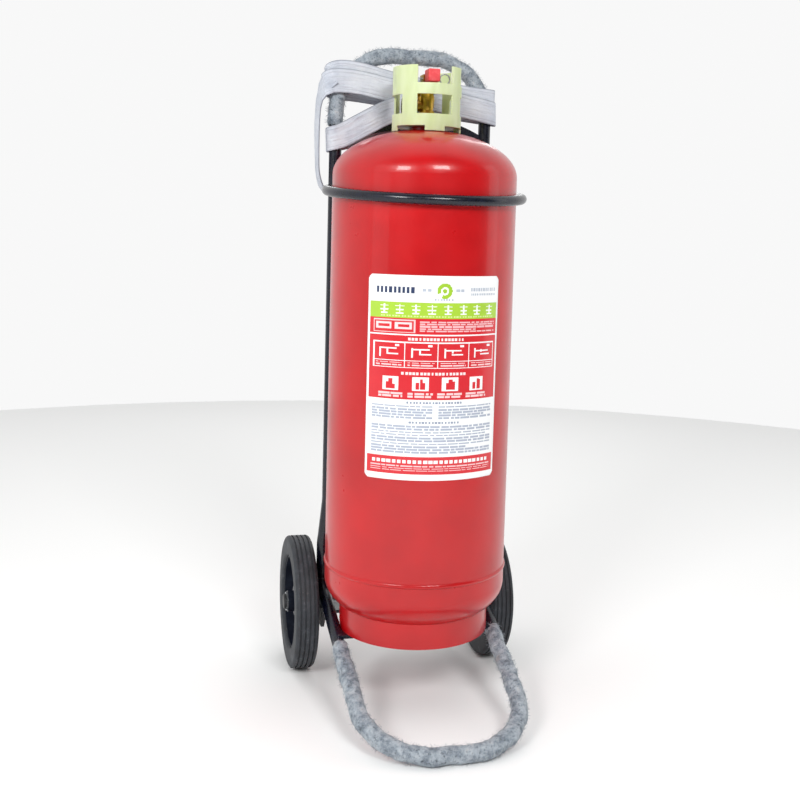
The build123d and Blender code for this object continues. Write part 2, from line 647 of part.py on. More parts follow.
def rim():
    """Pressed dished disc, with a flanged seat for the tyre and a hub tube."""
    half = TYRE_W / 2 - SEAT_INSET
    seat = ring(TYRE_INNER_R, TYRE_INNER_R - RIM_T, -half, half)
    dish = Polyline(
        (HUB_BORE_R, DISH_FRONT),
        (HUB_R + DISH_FRONT, DISH_FRONT),
        (HUB_R + DISH_HUB_REACH, DISH_BACK),
        (TYRE_INNER_R - RIM_T, DISH_BACK),
        (TYRE_INNER_R - RIM_T, DISH_BACK - RIM_T),
        (HUB_R + DISH_HUB_REACH - RIM_T / 2, DISH_BACK - RIM_T),
        (HUB_R + DISH_FRONT - RIM_T / 2, DISH_FRONT - RIM_T),
        (HUB_BORE_R, DISH_FRONT - RIM_T),
        close=True,
    )
    web = revolve(Plane.XZ * make_face(dish), Axis.Z)
    return seat + web + ring(HUB_R, HUB_BORE_R, -HUB_L / 2, HUB_L / 2)


def make_wheels():
    for side, name in ((-1, "left"), (1, "right")):
        place = Pos(side * WHEEL_X, AXLE_Y, AXLE_Z) * Rot(0, side * 90, 0)
        save(f"tyre_{name}", place * tyre())
        save(f"rim_{name}", place * rim())
        bush = ring(HUB_BORE_R, AXLE_R + RUNNING_GAP, -HUB_L / 2, HUB_L / 2)
        save(f"wheel_bush_{name}", place * bush)


# ---- hose and nozzle ----
def band(points):
    """Slab a hose width tall, whose middle follows (x, z) points as seen from the front."""
    half = HOSE_W / 2
    low = [(x, z - half) for x, z in points]
    high = [(x, z + half) for x, z in reversed(points)]
    return extrude(Plane.XZ * make_face(Polyline(*low, *high, close=True)), 2 * CYL_R, both=True)


def upright(plan):
    """Tall prism on a plan outline."""
    return extrude(plan, HANDLE_Z)


def stadium(half_length, radius, height):
    """Prism with two half-round ends, lying along X, its middle at the origin."""
    body = Box(2 * half_length, 2 * radius, height)
    for side in (-1, 1):
        body += Pos(side * half_length, 0, 0) * Cylinder(radius, height)
    return body


def make_turns():
    """Outer shape of the hose turns wound round the two sides of the handle."""
    outer = stadium(LEG_X, TURN_INNER_R + TURN_T, 400)
    outer -= stadium(LEG_X, TURN_INNER_R, 402)
    reach = LEG_X + 40
    outline = Polyline(
        (-reach, TURNS_BOTTOM[0]),
        (reach, TURNS_BOTTOM[1]),
        (reach, TURNS_TOP[1]),
        (-reach, TURNS_TOP[0]),
        close=True,
    )
    slab = extrude(Plane.XZ * make_face(outline), 100, both=True)
    turns = Pos(0, LEG_Y, 0) * ((Pos(0, 0, TURNS_TOP[1]) * outer) & slab)
    save("hose_turns", turns)
    return turns


def make_lead():
    """Hose from the ferrule to the left leg, round it and back to the turns."""
    half_t = HOSE_T / 2
    bend = Circle(LEAD_BEND_R + half_t) - Circle(LEAD_BEND_R - half_t)
    bend &= Rectangle(100, 100, align=(Align.MIN, Align.MIN))
    front_y = HOSE_EXIT_Y + LEAD_BEND_R
    left_y = LEG_Y - TURN_MID_R
    run = Polyline(
        (-LEAD_BEND_R, front_y - half_t),
        (-LEAD_BEND_R, front_y + half_t),
        (-LEG_X, left_y + half_t),
        (-LEG_X, left_y - half_t),
        close=True,
    )
    around = Circle(TURN_MID_R + half_t) - Circle(TURN_INNER_R)
    around &= Rectangle(100, 100, align=(Align.MAX, Align.CENTER))
    plan = Pos(-LEAD_BEND_R, HOSE_EXIT_Y) * bend + make_face(run) + Pos(-LEG_X, LEG_Y) * around
    left_z, right_z = LEAD_Z
    front_z = [(-2 * LEG_X, left_z), (-LEG_X, left_z), (-LEAD_BEND_R, right_z), (LEG_X, right_z)]
    back_x = LEG_X - LEAD_STOP
    back = Pos((back_x - LEG_X) / 2, LEG_Y + TURN_MID_R) * Rectangle(back_x + LEG_X, HOSE_T)
    back_z = [(-LEG_X, left_z), (back_x, BACK_RUN_Z)]
    save("hose_lead", (upright(plan) & band(front_z)) + (upright(back) & band(back_z)))


def folded_hose(name, route):
    """Hose along a route as a round bar, since the flat hose is folded and twisted there."""
    radii = arc_radii(route)
    print(name, "radii:", [round(radius, 1) for radius in radii])
    path = FilletPolyline(*route, radius=radii)
    hose = pipe(path, HOSE_FOLDED_R)
    expected = math.pi * HOSE_FOLDED_R ** 2 * path.length
    print(name, "volume over section times length:", round(hose.volume / expected, 4))
    return hose


def make_drop():
    """Hose that hangs outside the left leg and passes behind it to the hank."""
    route = [
        (-LEG_X - TURN_INNER_R - TURN_T, LEG_Y, 1064),
        (-LEG_X - 31, LEG_Y + 1, 1047),
        (-LEG_X - 32, LEG_Y + 3, 1000),
        (-LEG_X - 31, LEG_Y + 9, 950),
        (-LEG_X - 27, LEG_Y + 22, 905),
        (-LEG_X - 10, LEG_Y + 46, 873),
        (-LEG_X + 26, LEG_Y + 72, 862),
        (HANK_X - HANK_R + 22, HANK_Y - 3, 851),
    ]
    return folded_hose("hose_drop", route)


def make_end():
    """Hose from the inner turn of the hank over into the top of the nozzle."""
    top = NOZZLE_TOP_Z + NOZZLE_COLLAR_L
    route = [
        (HANK_X, HANK_Y, top),
        (HANK_X, HANK_Y, top + 27),
        (HANK_X - 22, HANK_Y, top + 50),
        (HANK_X - 48, HANK_Y, top + 34),
        (HANK_X - HANK_R + HANK_T - 4, HANK_Y, top + 4),
    ]
    return folded_hose("hose_end", route)


def arc_radii(route):
    """Largest arc at each corner: 0.45 of the shorter run over the tangent of half the turn."""
    radii = []
    for before, here, after in zip(route, route[1:], route[2:]):
        first = Vector(*here) - Vector(*before)
        second = Vector(*after) - Vector(*here)
        half_turn = math.radians(first.get_angle(second)) / 2
        radii.append(0.45 * min(first.length, second.length) / math.tan(half_turn))
    return radii


def hank_ring():
    """Outer shape of the rest of the hose, hung in two upright turns behind the cylinder."""
    half = HANK_H / 2 - HANK_R
    outer = stadium(half, HANK_R, HOSE_W) - stadium(half, HANK_R - HANK_T, HOSE_W + 2)
    upright = Rot(0, 90, 0) * Rot(90, 0, 0) * outer
    return Pos(HANK_X, HANK_Y, HANK_TOP_Z - HANK_H / 2) * upright


def make_hank(turns):
    hank = hank_ring()
    save("hose_hank", hank)
    save("hose_drop", make_drop() - hank - turns)
    save("hose_end", make_end() - hank)
    return hank


def make_hanger(hank):
    """Half-round saddle on the upper cradle that carries the hank."""
    radius = HANK_R - HANK_T
    depth = HOSE_W + HANGER_SPARE
    centre_z = HANK_TOP_Z - HANK_R
    arch = ring(radius, radius - HANGER_T, -depth / 2, depth / 2)
    lip = ring(radius + HANGER_LIP_H, radius - HANGER_T, depth / 2, depth / 2 + HANGER_T)
    sector = wedge(HANGER_HALF_DEG, 3 * radius, -depth, depth, 180)
    saddle = Rot(-90, 0, 0) * Rot(0, 0, 180) * ((arch + lip) & sector)
    saddle = Pos(HANK_X, HANK_Y, centre_z) * saddle
    strut_y = CYL_R + CRADLE_GAP + CRADLE_T
    length = HANK_Y + depth / 2 - strut_y
    strut_z = CRADLE_ZS[0]
    strut = Box(STRUT_W, length + HANGER_LIP_H, STRUT_T)
    strut = Pos(HANK_X, strut_y + length / 2 - HANGER_LIP_H / 2, strut_z) * strut
    post_h = centre_z + radius - 2 - strut_z
    post = Pos(HANK_X, HANK_Y, strut_z + post_h / 2) * Box(STRUT_T, POST_L, post_h)
    hanger = saddle + strut + post
    save("hose_hanger", hanger - disc(strut_y, 0, 2 * HANDLE_Z) - hank)


def make_nozzle():
    """Discharge nozzle with a squeeze trigger, hanging upright in a spring clip."""
    place = Pos(HANK_X, HANK_Y, 0)
    top = NOZZLE_TOP_Z
    mid_z = top - NOZZLE_L
    hinge_x = -NOZZLE_R - TRIGGER_OFFSET
    hinge_z = top - TRIGGER_DROP
    bore_r = NOZZLE_R - NOZZLE_WALL
    body = disc(NOZZLE_R, mid_z, top)
    cheeks = Box(2 * TRIGGER_OFFSET, CHEEK_W, CHEEK_H)
    body += Pos(hinge_x + TRIGGER_OFFSET / 2, 0, hinge_z) * cheeks
    body -= disc(bore_r, mid_z - 1, top + 1)
    slot = Box(2 * TRIGGER_OFFSET - 2, TRIGGER_W + 2 * EAR_GAP, CHEEK_H + 2)
    body -= Pos(hinge_x - 1, 0, hinge_z) * slot
    body -= Pos(hinge_x, 0, hinge_z) * Rot(90, 0, 0) * Cylinder(TRIGGER_PIN_R, 2 * CHEEK_W)
    save("nozzle_body", place * body)
    tip_low = mid_z - NOZZLE_TIP_L
    tip = Pos(0, 0, (mid_z + tip_low) / 2) * Cone(NOZZLE_R + 3, NOZZLE_R - 3, NOZZLE_TIP_L)
    save("nozzle_tip", place * (tip - disc(bore_r - 1, tip_low - 1, mid_z + 1)))
    bar = Pos(-1, 0, -TRIGGER_L / 2) * Box(TRIGGER_T, TRIGGER_W, TRIGGER_L)
    trigger = Pos(hinge_x, 0, hinge_z) * Rot(0, TRIGGER_SPLAY_DEG, 0) * bar
    trigger += Pos(hinge_x, 0, hinge_z) * Rot(90, 0, 0) * Cylinder(TRIGGER_HUB_R, TRIGGER_W)
    hinge_hole = Rot(90, 0, 0) * Cylinder(TRIGGER_PIN_R + RUNNING_GAP, 2 * CHEEK_W)
    trigger -= Pos(hinge_x, 0, hinge_z) * hinge_hole
    save("nozzle_trigger", place * trigger)
    pin = Pos(hinge_x, 0, hinge_z) * Rot(90, 0, 0) * Cylinder(TRIGGER_PIN_R, CHEEK_W)
    save("trigger_pin", place * pin)
    collar = ring(NOZZLE_R + 1.5, bore_r, top, top + NOZZLE_COLLAR_L)
    save("nozzle_ferrule", place * collar)
    make_clip(mid_z + CLIP_H)


def make_clip(z):
    """Spring clip on a strut from the back of the cylinder, open towards the back."""
    inner = NOZZLE_R
    clip = ring(inner + CLIP_T, inner, z - CLIP_H / 2, z + CLIP_H / 2)
    clip -= wedge(CLIP_OPEN_HALF_DEG, 2 * CYL_R, z - CLIP_H, z + CLIP_H, 180)
    near = CYL_R + CRADLE_GAP
    strut_l = HANK_Y - inner - CLIP_T - near + 1
    strut = Pos(0, -inner - CLIP_T + 1 - strut_l / 2, z) * Box(CLIP_STRUT_W, strut_l, CLIP_H)
    clip = Pos(HANK_X, HANK_Y, 0) * (clip + (strut - disc(inner + 1, z - CLIP_H, z + CLIP_H)))
    save("nozzle_clip", clip - disc(near, z - CLIP_H, z + CLIP_H))


make_vessel()
make_label()
make_guard()
make_valve()
make_lever()
make_outlet()
make_gauge()
make_frame()
make_axle()
make_wheels()
hose_turns = make_turns()
make_lead()
hank_solid = make_hank(hose_turns)
make_hanger(hank_solid)
make_nozzle()
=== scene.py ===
"""Finish and soft pieces of a wheeled fire extinguisher, made round its CAD model."""
import json
import math

import bpy
import numpy as np
from bpy.props import FloatProperty, FloatVectorProperty, IntProperty, PointerProperty
from mathutils import Euler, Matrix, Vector, noise


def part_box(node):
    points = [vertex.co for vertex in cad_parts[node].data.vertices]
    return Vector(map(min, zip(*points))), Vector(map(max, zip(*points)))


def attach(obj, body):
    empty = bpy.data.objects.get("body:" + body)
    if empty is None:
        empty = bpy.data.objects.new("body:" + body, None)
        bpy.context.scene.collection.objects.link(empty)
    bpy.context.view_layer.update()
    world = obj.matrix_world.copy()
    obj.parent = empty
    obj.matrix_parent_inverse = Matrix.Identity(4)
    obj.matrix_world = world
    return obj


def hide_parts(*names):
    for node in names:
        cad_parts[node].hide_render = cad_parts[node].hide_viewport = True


bl_info = {
    "name": "Wheeled fire extinguisher",
    "version": (1, 0, 0),
    "blender": (4, 5, 0),
    "location": "3D View > Sidebar > Extinguisher",
    "description": "Paint, hose, felt wraps and label of a wheeled fire extinguisher",
    "category": "Add Mesh",
}

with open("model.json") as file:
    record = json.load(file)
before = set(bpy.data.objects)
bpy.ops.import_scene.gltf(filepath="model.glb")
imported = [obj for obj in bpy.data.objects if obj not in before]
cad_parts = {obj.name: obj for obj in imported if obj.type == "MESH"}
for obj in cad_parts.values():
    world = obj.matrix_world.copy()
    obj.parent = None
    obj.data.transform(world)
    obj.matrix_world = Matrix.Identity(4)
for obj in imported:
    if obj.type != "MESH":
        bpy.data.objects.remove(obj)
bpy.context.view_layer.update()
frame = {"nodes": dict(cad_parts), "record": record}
AXIS_Y = (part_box("cylinder_shell")[0].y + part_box("cylinder_shell")[1].y) / 2
TROLLEY = "trolley"
FLOOR_Z = 0.0004


# ---- colours, nodes and materials ----
def linear(colour):
    """An sRGB hex colour as linear red, green, blue and alpha."""
    channels = [int(colour[i:i + 2], 16) / 255 for i in (0, 2, 4)]
    return tuple(c / 12.92 if c <= 0.04045 else ((c + 0.055) / 1.055) ** 2.4 for c in channels) + (1.0,)


def add_node(tree, kind, inputs=None, stops=None, **settings):
    """Add a node, with its settings, its inputs as values or links, and a ramp's stops."""
    node = tree.nodes.new(kind)
    for name, value in settings.items():
        setattr(node, name, value)
    for key, value in (inputs or {}).items():
        if isinstance(value, bpy.types.NodeSocket):
            tree.links.new(value, node.inputs[key])
        elif isinstance(value, str) and node.inputs[key].type == "RGBA":
            node.inputs[key].default_value = linear(value)
        else:
            node.inputs[key].default_value = value
    for index, (place, colour) in enumerate(stops or ()):
        points = node.color_ramp.elements
        point = points[index] if index < 2 else points.new(place)
        point.position = place
        point.color = linear(colour)
    return node


def new_material(name, colour, **values):
    """A Principled material with its constant values set on the shader's own sockets."""
    material = bpy.data.materials.new(name)
    material.use_nodes = True
    tree = material.node_tree
    tree.nodes.clear()
    shader = add_node(tree, "ShaderNodeBsdfPrincipled", {"Base Color": colour})
    for key, value in values.items():
        socket = shader.inputs[key.replace("_", " ")]
        socket.default_value = linear(value) if isinstance(value, str) else value
    add_node(tree, "ShaderNodeOutputMaterial", {"Surface": shader.outputs[0]})
    material.diffuse_color = linear(colour)
    return material, tree, shader


def object_noise(tree, size_mm, detail=3.0, rough=0.55, stretch=(1, 1, 1), kind="ShaderNodeTexNoise"):
    """Noise on Object coordinates whose grain is a size in millimetres."""
    place = add_node(tree, "ShaderNodeTexCoord")
    mapped = add_node(tree, "ShaderNodeMapping", {"Vector": place.outputs["Object"], "Scale": stretch})
    inputs = {"Vector": mapped.outputs[0], "Scale": 1000 / size_mm}
    if kind == "ShaderNodeTexNoise":
        inputs.update({"Detail": detail, "Roughness": rough})
    return add_node(tree, kind, inputs)


def bumped(tree, shader, height, depth_mm, strength=1.0, after=None):
    """Send a height through a bump of a real depth to the shader's normal."""
    inputs = {"Height": height, "Distance": depth_mm / 1000, "Strength": strength}
    if after:
        inputs["Normal"] = after.outputs[0]
    bump = add_node(tree, "ShaderNodeBump", inputs)
    tree.links.new(bump.outputs[0], shader.inputs["Normal"])
    return bump


def ramp(tree, share, *stops):
    """A colour ramp's colour output."""
    return add_node(tree, "ShaderNodeValToRGB", {"Fac": share}, stops=stops).outputs[0]


def ranged(tree, value, low, high, first=0.0, last=1.0):
    """A value that runs from low to high while its input runs from first to last."""
    ends = {"Value": value, "From Min": first, "From Max": last, "To Min": low, "To Max": high}
    return add_node(tree, "ShaderNodeMapRange", ends).outputs[0]


def worked(tree, operation, *values):
    """The result of one step of arithmetic."""
    return add_node(tree, "ShaderNodeMath", dict(enumerate(values)), operation=operation).outputs[0]


def blend(tree, share, under, over):
    """One colour laid over another by a share."""
    node = add_node(tree, "ShaderNodeMix", {0: share, 6: under, 7: over}, data_type="RGBA")
    return node.outputs[2]


def red_enamel():
    # Stoved red enamel sprayed on welded steel: deep gloss with a faint orange peel.
    shop = bpy.context.scene.extinguisher_finish
    material, tree, shader = new_material(
        "stoved_red_enamel", "BE0A12", Roughness=0.34, IOR=1.45, Coat_Weight=0.35, Coat_Roughness=0.06
    )
    cloud = object_noise(tree, 90, detail=2.0)
    tint = add_node(
        tree, "ShaderNodeValToRGB", {"Fac": cloud.outputs[0]}, stops=[(0.3, "AE040B"), (0.7, "C0070E")]
    )
    tint.color_ramp.elements[1].color = tuple(shop.red) + (1.0,)
    tree.links.new(tint.outputs[0], shader.inputs["Base Color"])
    smear = object_noise(tree, 40, detail=4.0)
    tree.links.new(ranged(tree, smear.outputs[0], 0.24, 0.36), shader.inputs["Roughness"])
    bumped(tree, shader, object_noise(tree, 3.5, detail=1.0).outputs[0], 0.03, 0.35)
    return material


def frame_enamel():
    # Blue-black gloss enamel on drawn steel tube: sharp highlights, a few rubbed and dusty spots.
    material, tree, shader = new_material(
        "blue_black_enamel", "0B0F20", Roughness=0.3, IOR=1.45, Coat_Weight=0.2, Coat_Roughness=0.1
    )
    rub = object_noise(tree, 14, detail=6.0, rough=0.7).outputs[0]
    tint = ramp(tree, rub, (0.45, "060917"), (0.68, "0C1126"), (0.8, "2E3443"))
    tree.links.new(tint, shader.inputs["Base Color"])
    tree.links.new(ranged(tree, rub, 0.14, 0.42), shader.inputs["Roughness"])
    bumped(tree, shader, rub, 0.08, 0.3)
    return material


def guard_polyethylene():
    # Injection-moulded polyethylene, unpainted: waxy, slightly see-through, with faint flow marks.
    material, tree, shader = new_material(
        "moulded_polyethylene",
        "DDE6AC",
        Roughness=0.42,
        IOR=1.52,
        Subsurface_Weight=0.35,
        Subsurface_Radius=(0.012, 0.012, 0.004),
        Subsurface_Scale=0.6,
    )
    flow = object_noise(tree, 30, detail=3.0, stretch=(1, 1, 0.25)).outputs[0]
    tree.links.new(ramp(tree, flow, (0.35, "C2D09A"), (0.65, "D2DDB4")), shader.inputs["Base Color"])
    bumped(tree, shader, object_noise(tree, 2.0, detail=2.0).outputs[0], 0.04, 0.4)
    return material


def brass():
    # Forged and turned brass: warm yellow, slightly tarnished in the hollows.
    material, tree, shader = new_material("forged_brass", "C49A3A", Metallic=1.0, Roughness=0.3)
    stain = object_noise(tree, 8, detail=5.0, rough=0.65).outputs[0]
    tint = ramp(tree, stain, (0.3, "9C7524"), (0.55, "CBA244"), (0.8, "E0BE66"))
    tree.links.new(tint, shader.inputs["Base Color"])
    tree.links.new(ranged(tree, stain, 0.2, 0.45), shader.inputs["Roughness"])
    bumped(tree, shader, object_noise(tree, 1.2).outputs[0], 0.05, 0.5)
    return material


def bare_metal(name, dark, light, rough, grain_mm, stretch):
    # Bare metal: a fine directional grain under an even shine.
    material, tree, shader = new_material(name, light, Metallic=1.0, Roughness=rough)
    grain = object_noise(tree, grain_mm, detail=4.0, stretch=stretch).outputs[0]
    tree.links.new(ramp(tree, grain, (0.3, dark), (0.7, light)), shader.inputs["Base Color"])
    tree.links.new(ranged(tree, grain, rough * 0.7, rough * 1.4), shader.inputs["Roughness"])
    bumped(tree, shader, grain, 0.02, 0.4)
    return material


def plain_plastic(name, colour, rubbed, rough, texture_mm):
    # Moulded plastic: an even colour with a spark-eroded texture that catches the light.
    material, tree, shader = new_material(name, colour, Roughness=rough, IOR=1.5)
    rub = object_noise(tree, 18, detail=5.0, rough=0.65).outputs[0]
    tree.links.new(ramp(tree, rub, (0.5, colour), (0.8, rubbed)), shader.inputs["Base Color"])
    tree.links.new(ranged(tree, rub, rough * 0.8, rough * 1.3), shader.inputs["Roughness"])
    bumped(tree, shader, object_noise(tree, texture_mm, detail=2.0).outputs[0], 0.06, 0.5)
    return material


def tyre_rubber():
    # Solid moulded rubber: dull charcoal, with dust held on the ribs and small scuffs.
    material, tree, shader = new_material("solid_tyre_rubber", "24272C", Roughness=0.62, IOR=1.52)
    dust = object_noise(tree, 26, detail=7.0, rough=0.7).outputs[0]
    tint = ramp(tree, dust, (0.35, "1E2126"), (0.58, "33373D"), (0.78, "6E7074"))
    speck = object_noise(tree, 3.0, detail=2.0).outputs[0]
    spots = ranged(tree, speck, 0.0, 0.4, 0.66, 0.74)
    tree.links.new(blend(tree, spots, tint, "8C8B88"), shader.inputs["Base Color"])
    tree.links.new(ranged(tree, dust, 0.5, 0.85), shader.inputs["Roughness"])
    bumped(tree, shader, object_noise(tree, 2.2, detail=4.0).outputs[0], 0.15, 0.6)
    return material


def clear_lens():
    # Clear moulded polycarbonate: a smooth window.
    material, _, _ = new_material(
        "clear_polycarbonate", "F4F7F7", Roughness=0.04, IOR=1.585, Transmission_Weight=1.0
    )
    return material


def gauge_face():
    # Lacquered dial, printed with red, green and yellow bands and black ticks.
    material, tree, shader = new_material("printed_dial", "F0F0EC", Roughness=0.35, IOR=1.5)
    low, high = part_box("gauge_dial")
    centre = (low + high) / 2
    place = add_node(tree, "ShaderNodeTexCoord")
    moved = add_node(
        tree,
        "ShaderNodeMapping",
        {"Vector": place.outputs["Object"], "Location": tuple(-centre)},
    )
    axes = add_node(tree, "ShaderNodeSeparateXYZ", {"Vector": moved.outputs[0]})
    turn = worked(tree, "ARCTAN2", axes.outputs["Y"], axes.outputs["Z"])
    share = ranged(tree, turn, 0.0, 1.0, -math.pi, math.pi)
    bands = add_node(
        tree,
        "ShaderNodeValToRGB",
        {"Fac": share},
        stops=[(0.0, "F0F0EC"), (0.2, "D9A814"), (0.4, "1E8A3C"), (0.6, "C4161C"), (0.8, "F0F0EC")],
    )
    bands.color_ramp.interpolation = "CONSTANT"
    square = add_node(tree, "ShaderNodeCombineXYZ", {"X": axes.outputs["Y"], "Y": axes.outputs["Z"]})
    length = add_node(tree, "ShaderNodeVectorMath", {0: square.outputs[0]}, operation="LENGTH")
    reach = length.outputs["Value"]
    radius = (high.z - low.z) / 2
    ring = worked(tree, "COMPARE", reach, radius * 0.68, radius * 0.16)
    beat = worked(tree, "FRACT", worked(tree, "MULTIPLY", share, 30.0))
    outer = worked(tree, "COMPARE", reach, radius * 0.86, radius * 0.06)
    marks = worked(tree, "MULTIPLY", worked(tree, "LESS_THAN", beat, 0.14), outer)
    banded = blend(tree, ring, "F0F0EC", bands.outputs[0])
    tree.links.new(blend(tree, marks, banded, "15161A"), shader.inputs["Base Color"])
    return material


def grey_felt():
    # Needle-punched recycled felt: soft silver-grey fibres, dark and brown specks, no shine.
    shop = bpy.context.scene.extinguisher_finish
    material, tree, shader = new_material(
        "needle_punched_felt", "8A939C", Roughness=0.95, Sheen_Weight=0.15, Sheen_Roughness=0.6
    )
    tuft = object_noise(tree, 16, detail=8.0, rough=0.75)
    base = add_node(
        tree,
        "ShaderNodeValToRGB",
        {"Fac": tuft.outputs[0]},
        stops=[(0.34, "56626E"), (0.46, "8F99A3"), (0.58, "B2BBC3"), (0.74, "C9C6C1")],
    )
    base.color_ramp.elements[1].color = tuple(shop.felt) + (1.0,)
    speck = object_noise(tree, 4.5, detail=5.0, rough=0.8)
    dark = ranged(tree, speck.outputs[0], 0.0, 0.9, 0.46, 0.34)
    spotted = blend(tree, dark, base.outputs[0], "232B36")
    rust = object_noise(tree, 34, detail=4.0, rough=0.7).outputs[0]
    stained = blend(tree, ranged(tree, rust, 0.0, 0.35, 0.62, 0.74), spotted, "A08F80")
    tree.links.new(stained, shader.inputs["Base Color"])
    # Fibres are about 0.05 mm, too fine to show, so the fibre noise is drawn at 1.6 mm.
    fibre = object_noise(tree, 1.6, detail=6.0, rough=0.8)
    first = bumped(tree, shader, fibre.outputs[0], 1.2, 1.0)
    bumped(tree, shader, speck.outputs[0], 1.4, 0.7, after=first)
    return material


def woven_jacket():
    # Circular-woven polyester hose jacket, lined: off-white, with painted shade darkening it along its
    # folded edges, soft low shine.
    hose = bpy.context.scene.extinguisher_hose
    material, tree, shader = new_material(
        "woven_polyester_jacket", "CDD1DA", Roughness=0.78, Sheen_Weight=0.15, Sheen_Roughness=0.5
    )
    weave = add_node(tree, "ShaderNodeUVMap", uv_map="length_mm")
    # Threads lie about 0.9 mm apart; they are drawn 1.8 mm apart so that they show.
    wave = {"Vector": weave.outputs[0], "Scale": 0.1745}
    waves = [
        add_node(tree, "ShaderNodeTexWave", wave, bands_direction=way).outputs["Fac"] for way in "XY"
    ]
    crossed = worked(tree, "MULTIPLY", *waves)
    soil = object_noise(tree, 45, detail=6.0, rough=0.65).outputs[0]
    base = ramp(tree, soil, (0.3, "B8BFCC"), (0.5, "D2D7E1"), (0.75, "E2E5EB"))
    shade = add_node(tree, "ShaderNodeVectorMath", {0: base}, operation="SCALE")
    tree.links.new(ranged(tree, crossed, 0.84, 1.0), shade.inputs["Scale"])
    # The distance to the nearer fold, in millimetres, from the distance round the hose.
    outline = hose_section(hose.width * 1000, hose.thickness * 1000, 0.0)
    girth = sum(math.dist(a, b) for a, b in zip(outline, outline[1:] + outline[:1]))
    round_it = add_node(tree, "ShaderNodeSeparateXYZ", {"Vector": weave.outputs[0]})
    fold = worked(tree, "PINGPONG", round_it.outputs["Y"], girth / 4)
    # Painted shade: the colour darkens towards each folded edge, from about 3.2 mm in to the fold.
    painted_fold_shade = ranged(tree, fold, 0.0, 0.72, 3.2, 0.6)
    stitch = worked(tree, "MULTIPLY", worked(tree, "COMPARE", fold, 7.0, 0.5), 0.3)
    marks = worked(tree, "MAXIMUM", painted_fold_shade, stitch)
    tree.links.new(blend(tree, marks, shade.outputs[0], "5F6472"), shader.inputs["Base Color"])
    stretched = {"Vector": weave.outputs[0], "Scale": (0.03, 0.16, 1.0)}
    pulled = add_node(tree, "ShaderNodeMapping", stretched)
    creased = {"Vector": pulled.outputs[0], "Scale": 1.0, "Detail": 3.0}
    wrinkle = add_node(tree, "ShaderNodeTexNoise", creased)
    first = bumped(tree, shader, wrinkle.outputs[0], 5.0, 0.8)
    bumped(tree, shader, crossed, 0.35, 0.7, after=first)
    return material


def printed_film():
    # Gloss vinyl label, printed and laminated: flat inks under a clear smooth film.
    material, tree, shader = new_material(
        "laminated_vinyl_print", "F2F2F0", Roughness=0.35, IOR=1.46, Coat_Weight=0.4, Coat_Roughness=0.12
    )
    ink = add_node(tree, "ShaderNodeAttribute", attribute_name="ink")
    fade = object_noise(tree, 30, detail=3.0)
    print_colour = add_node(tree, "ShaderNodeVectorMath", {0: ink.outputs["Color"]}, operation="SCALE")
    tree.links.new(ranged(tree, fade.outputs[0], 0.93, 1.04), print_colour.inputs["Scale"])
    tree.links.new(print_colour.outputs[0], shader.inputs["Base Color"])
    bumped(tree, shader, object_noise(tree, 12, detail=1.0).outputs[0], 0.05, 0.3)
    return material


def finishes():
    """One material for each material slot of the record."""
    return {
        "cylinder_paint": red_enamel(),
        "frame_paint": frame_enamel(),
        "guard_plastic": guard_polyethylene(),
        "brass": brass(),
        "steel": bare_metal("zinc_plated_steel", "8E9296", "B8BBBE", 0.34, 2.5, (1, 1, 1)),
        "aluminium": bare_metal("anodised_aluminium", "A3A6AA", "C9CBCE", 0.36, 1.5, (1, 1, 0.2)),
        "gauge_metal": bare_metal("nickel_plated_brass", "A9A8A2", "D2D1CB", 0.2, 3.0, (1, 1, 1)),
        "lever_steel": plain_plastic("black_phosphated_steel", "17181B", "3A3B3E", 0.4, 1.5),
        "red_sleeve": plain_plastic("red_dipped_vinyl", "DE3A40", "EC7074", 0.42, 2.0),
        "rubber": plain_plastic("nitrile_rubber", "121214", "242426", 0.7, 1.5),
        "black_plastic": plain_plastic("moulded_black_nylon", "131417", "2B2C30", 0.45, 1.0),
        "needle_paint": plain_plastic("black_lacquer", "101012", "1C1C1E", 0.4, 2.0),
        "rim_paint": plain_plastic("blue_black_rim_enamel", "101523", "2A3242", 0.3, 4.0),
        "tyre_rubber": tyre_rubber(),
        "clear_lens": clear_lens(),
        "gauge_white": gauge_face(),
        "felt_wrap": grey_felt(),
        "hose_weave": woven_jacket(),
        "label_film": printed_film(),
    }


# ---- meshes ----
def new_piece(name, points, faces, material, smooth=True):
    """A mesh piece at the origin with one finish, riding on the trolley."""
    mesh = bpy.data.meshes.new(name)
    mesh.from_pydata([tuple(p) for p in points], [], faces)
    mesh.polygons.foreach_set("use_smooth", [smooth] * len(mesh.polygons))
    mesh.materials.append(material)
    mesh.update()
    piece = bpy.data.objects.new(name, mesh)
    bpy.context.scene.collection.objects.link(piece)
    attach(piece, TROLLEY)
    return piece


def swept(rings):
    """Points and faces of a closed skin over rings of equal count, with a fan at each end."""
    count = len(rings[0])
    points = [point for ring in rings for point in ring]
    faces = []
    for row in range(len(rings) - 1):
        for i in range(count):
            a = row * count + i
            b = row * count + (i + 1) % count
            faces.append((a, b, b + count, a + count))
    for row, order in ((0, -1), (len(rings) - 1, 1)):
        middle = sum((Vector(p) for p in rings[row]), Vector()) / count
        points.append(middle)
        for i in range(count):
            pair = (row * count + i, row * count + (i + 1) % count)
            faces.append((pair + (len(points) - 1,))[::order])
    return points, faces


def finish_of(slot):
    """The material made for a slot of the record."""
    return bpy.data.materials[bpy.context.scene["slot_" + slot]]


# ---- sizes and colours ----
class ExtinguisherFinish(bpy.types.PropertyGroup):
    red: FloatVectorProperty(
        name="Enamel red",
        description="Lighter tone of the cylinder's enamel",
        default=linear("C0070E")[:3],
        subtype="COLOR",
        min=0.0,
        max=1.0,
    )
    felt: FloatVectorProperty(
        name="Felt grey",
        description="Middle tone of the felt on the handle and foot loop",
        default=linear("8F99A3")[:3],
        subtype="COLOR",
        min=0.0,
        max=1.0,
    )


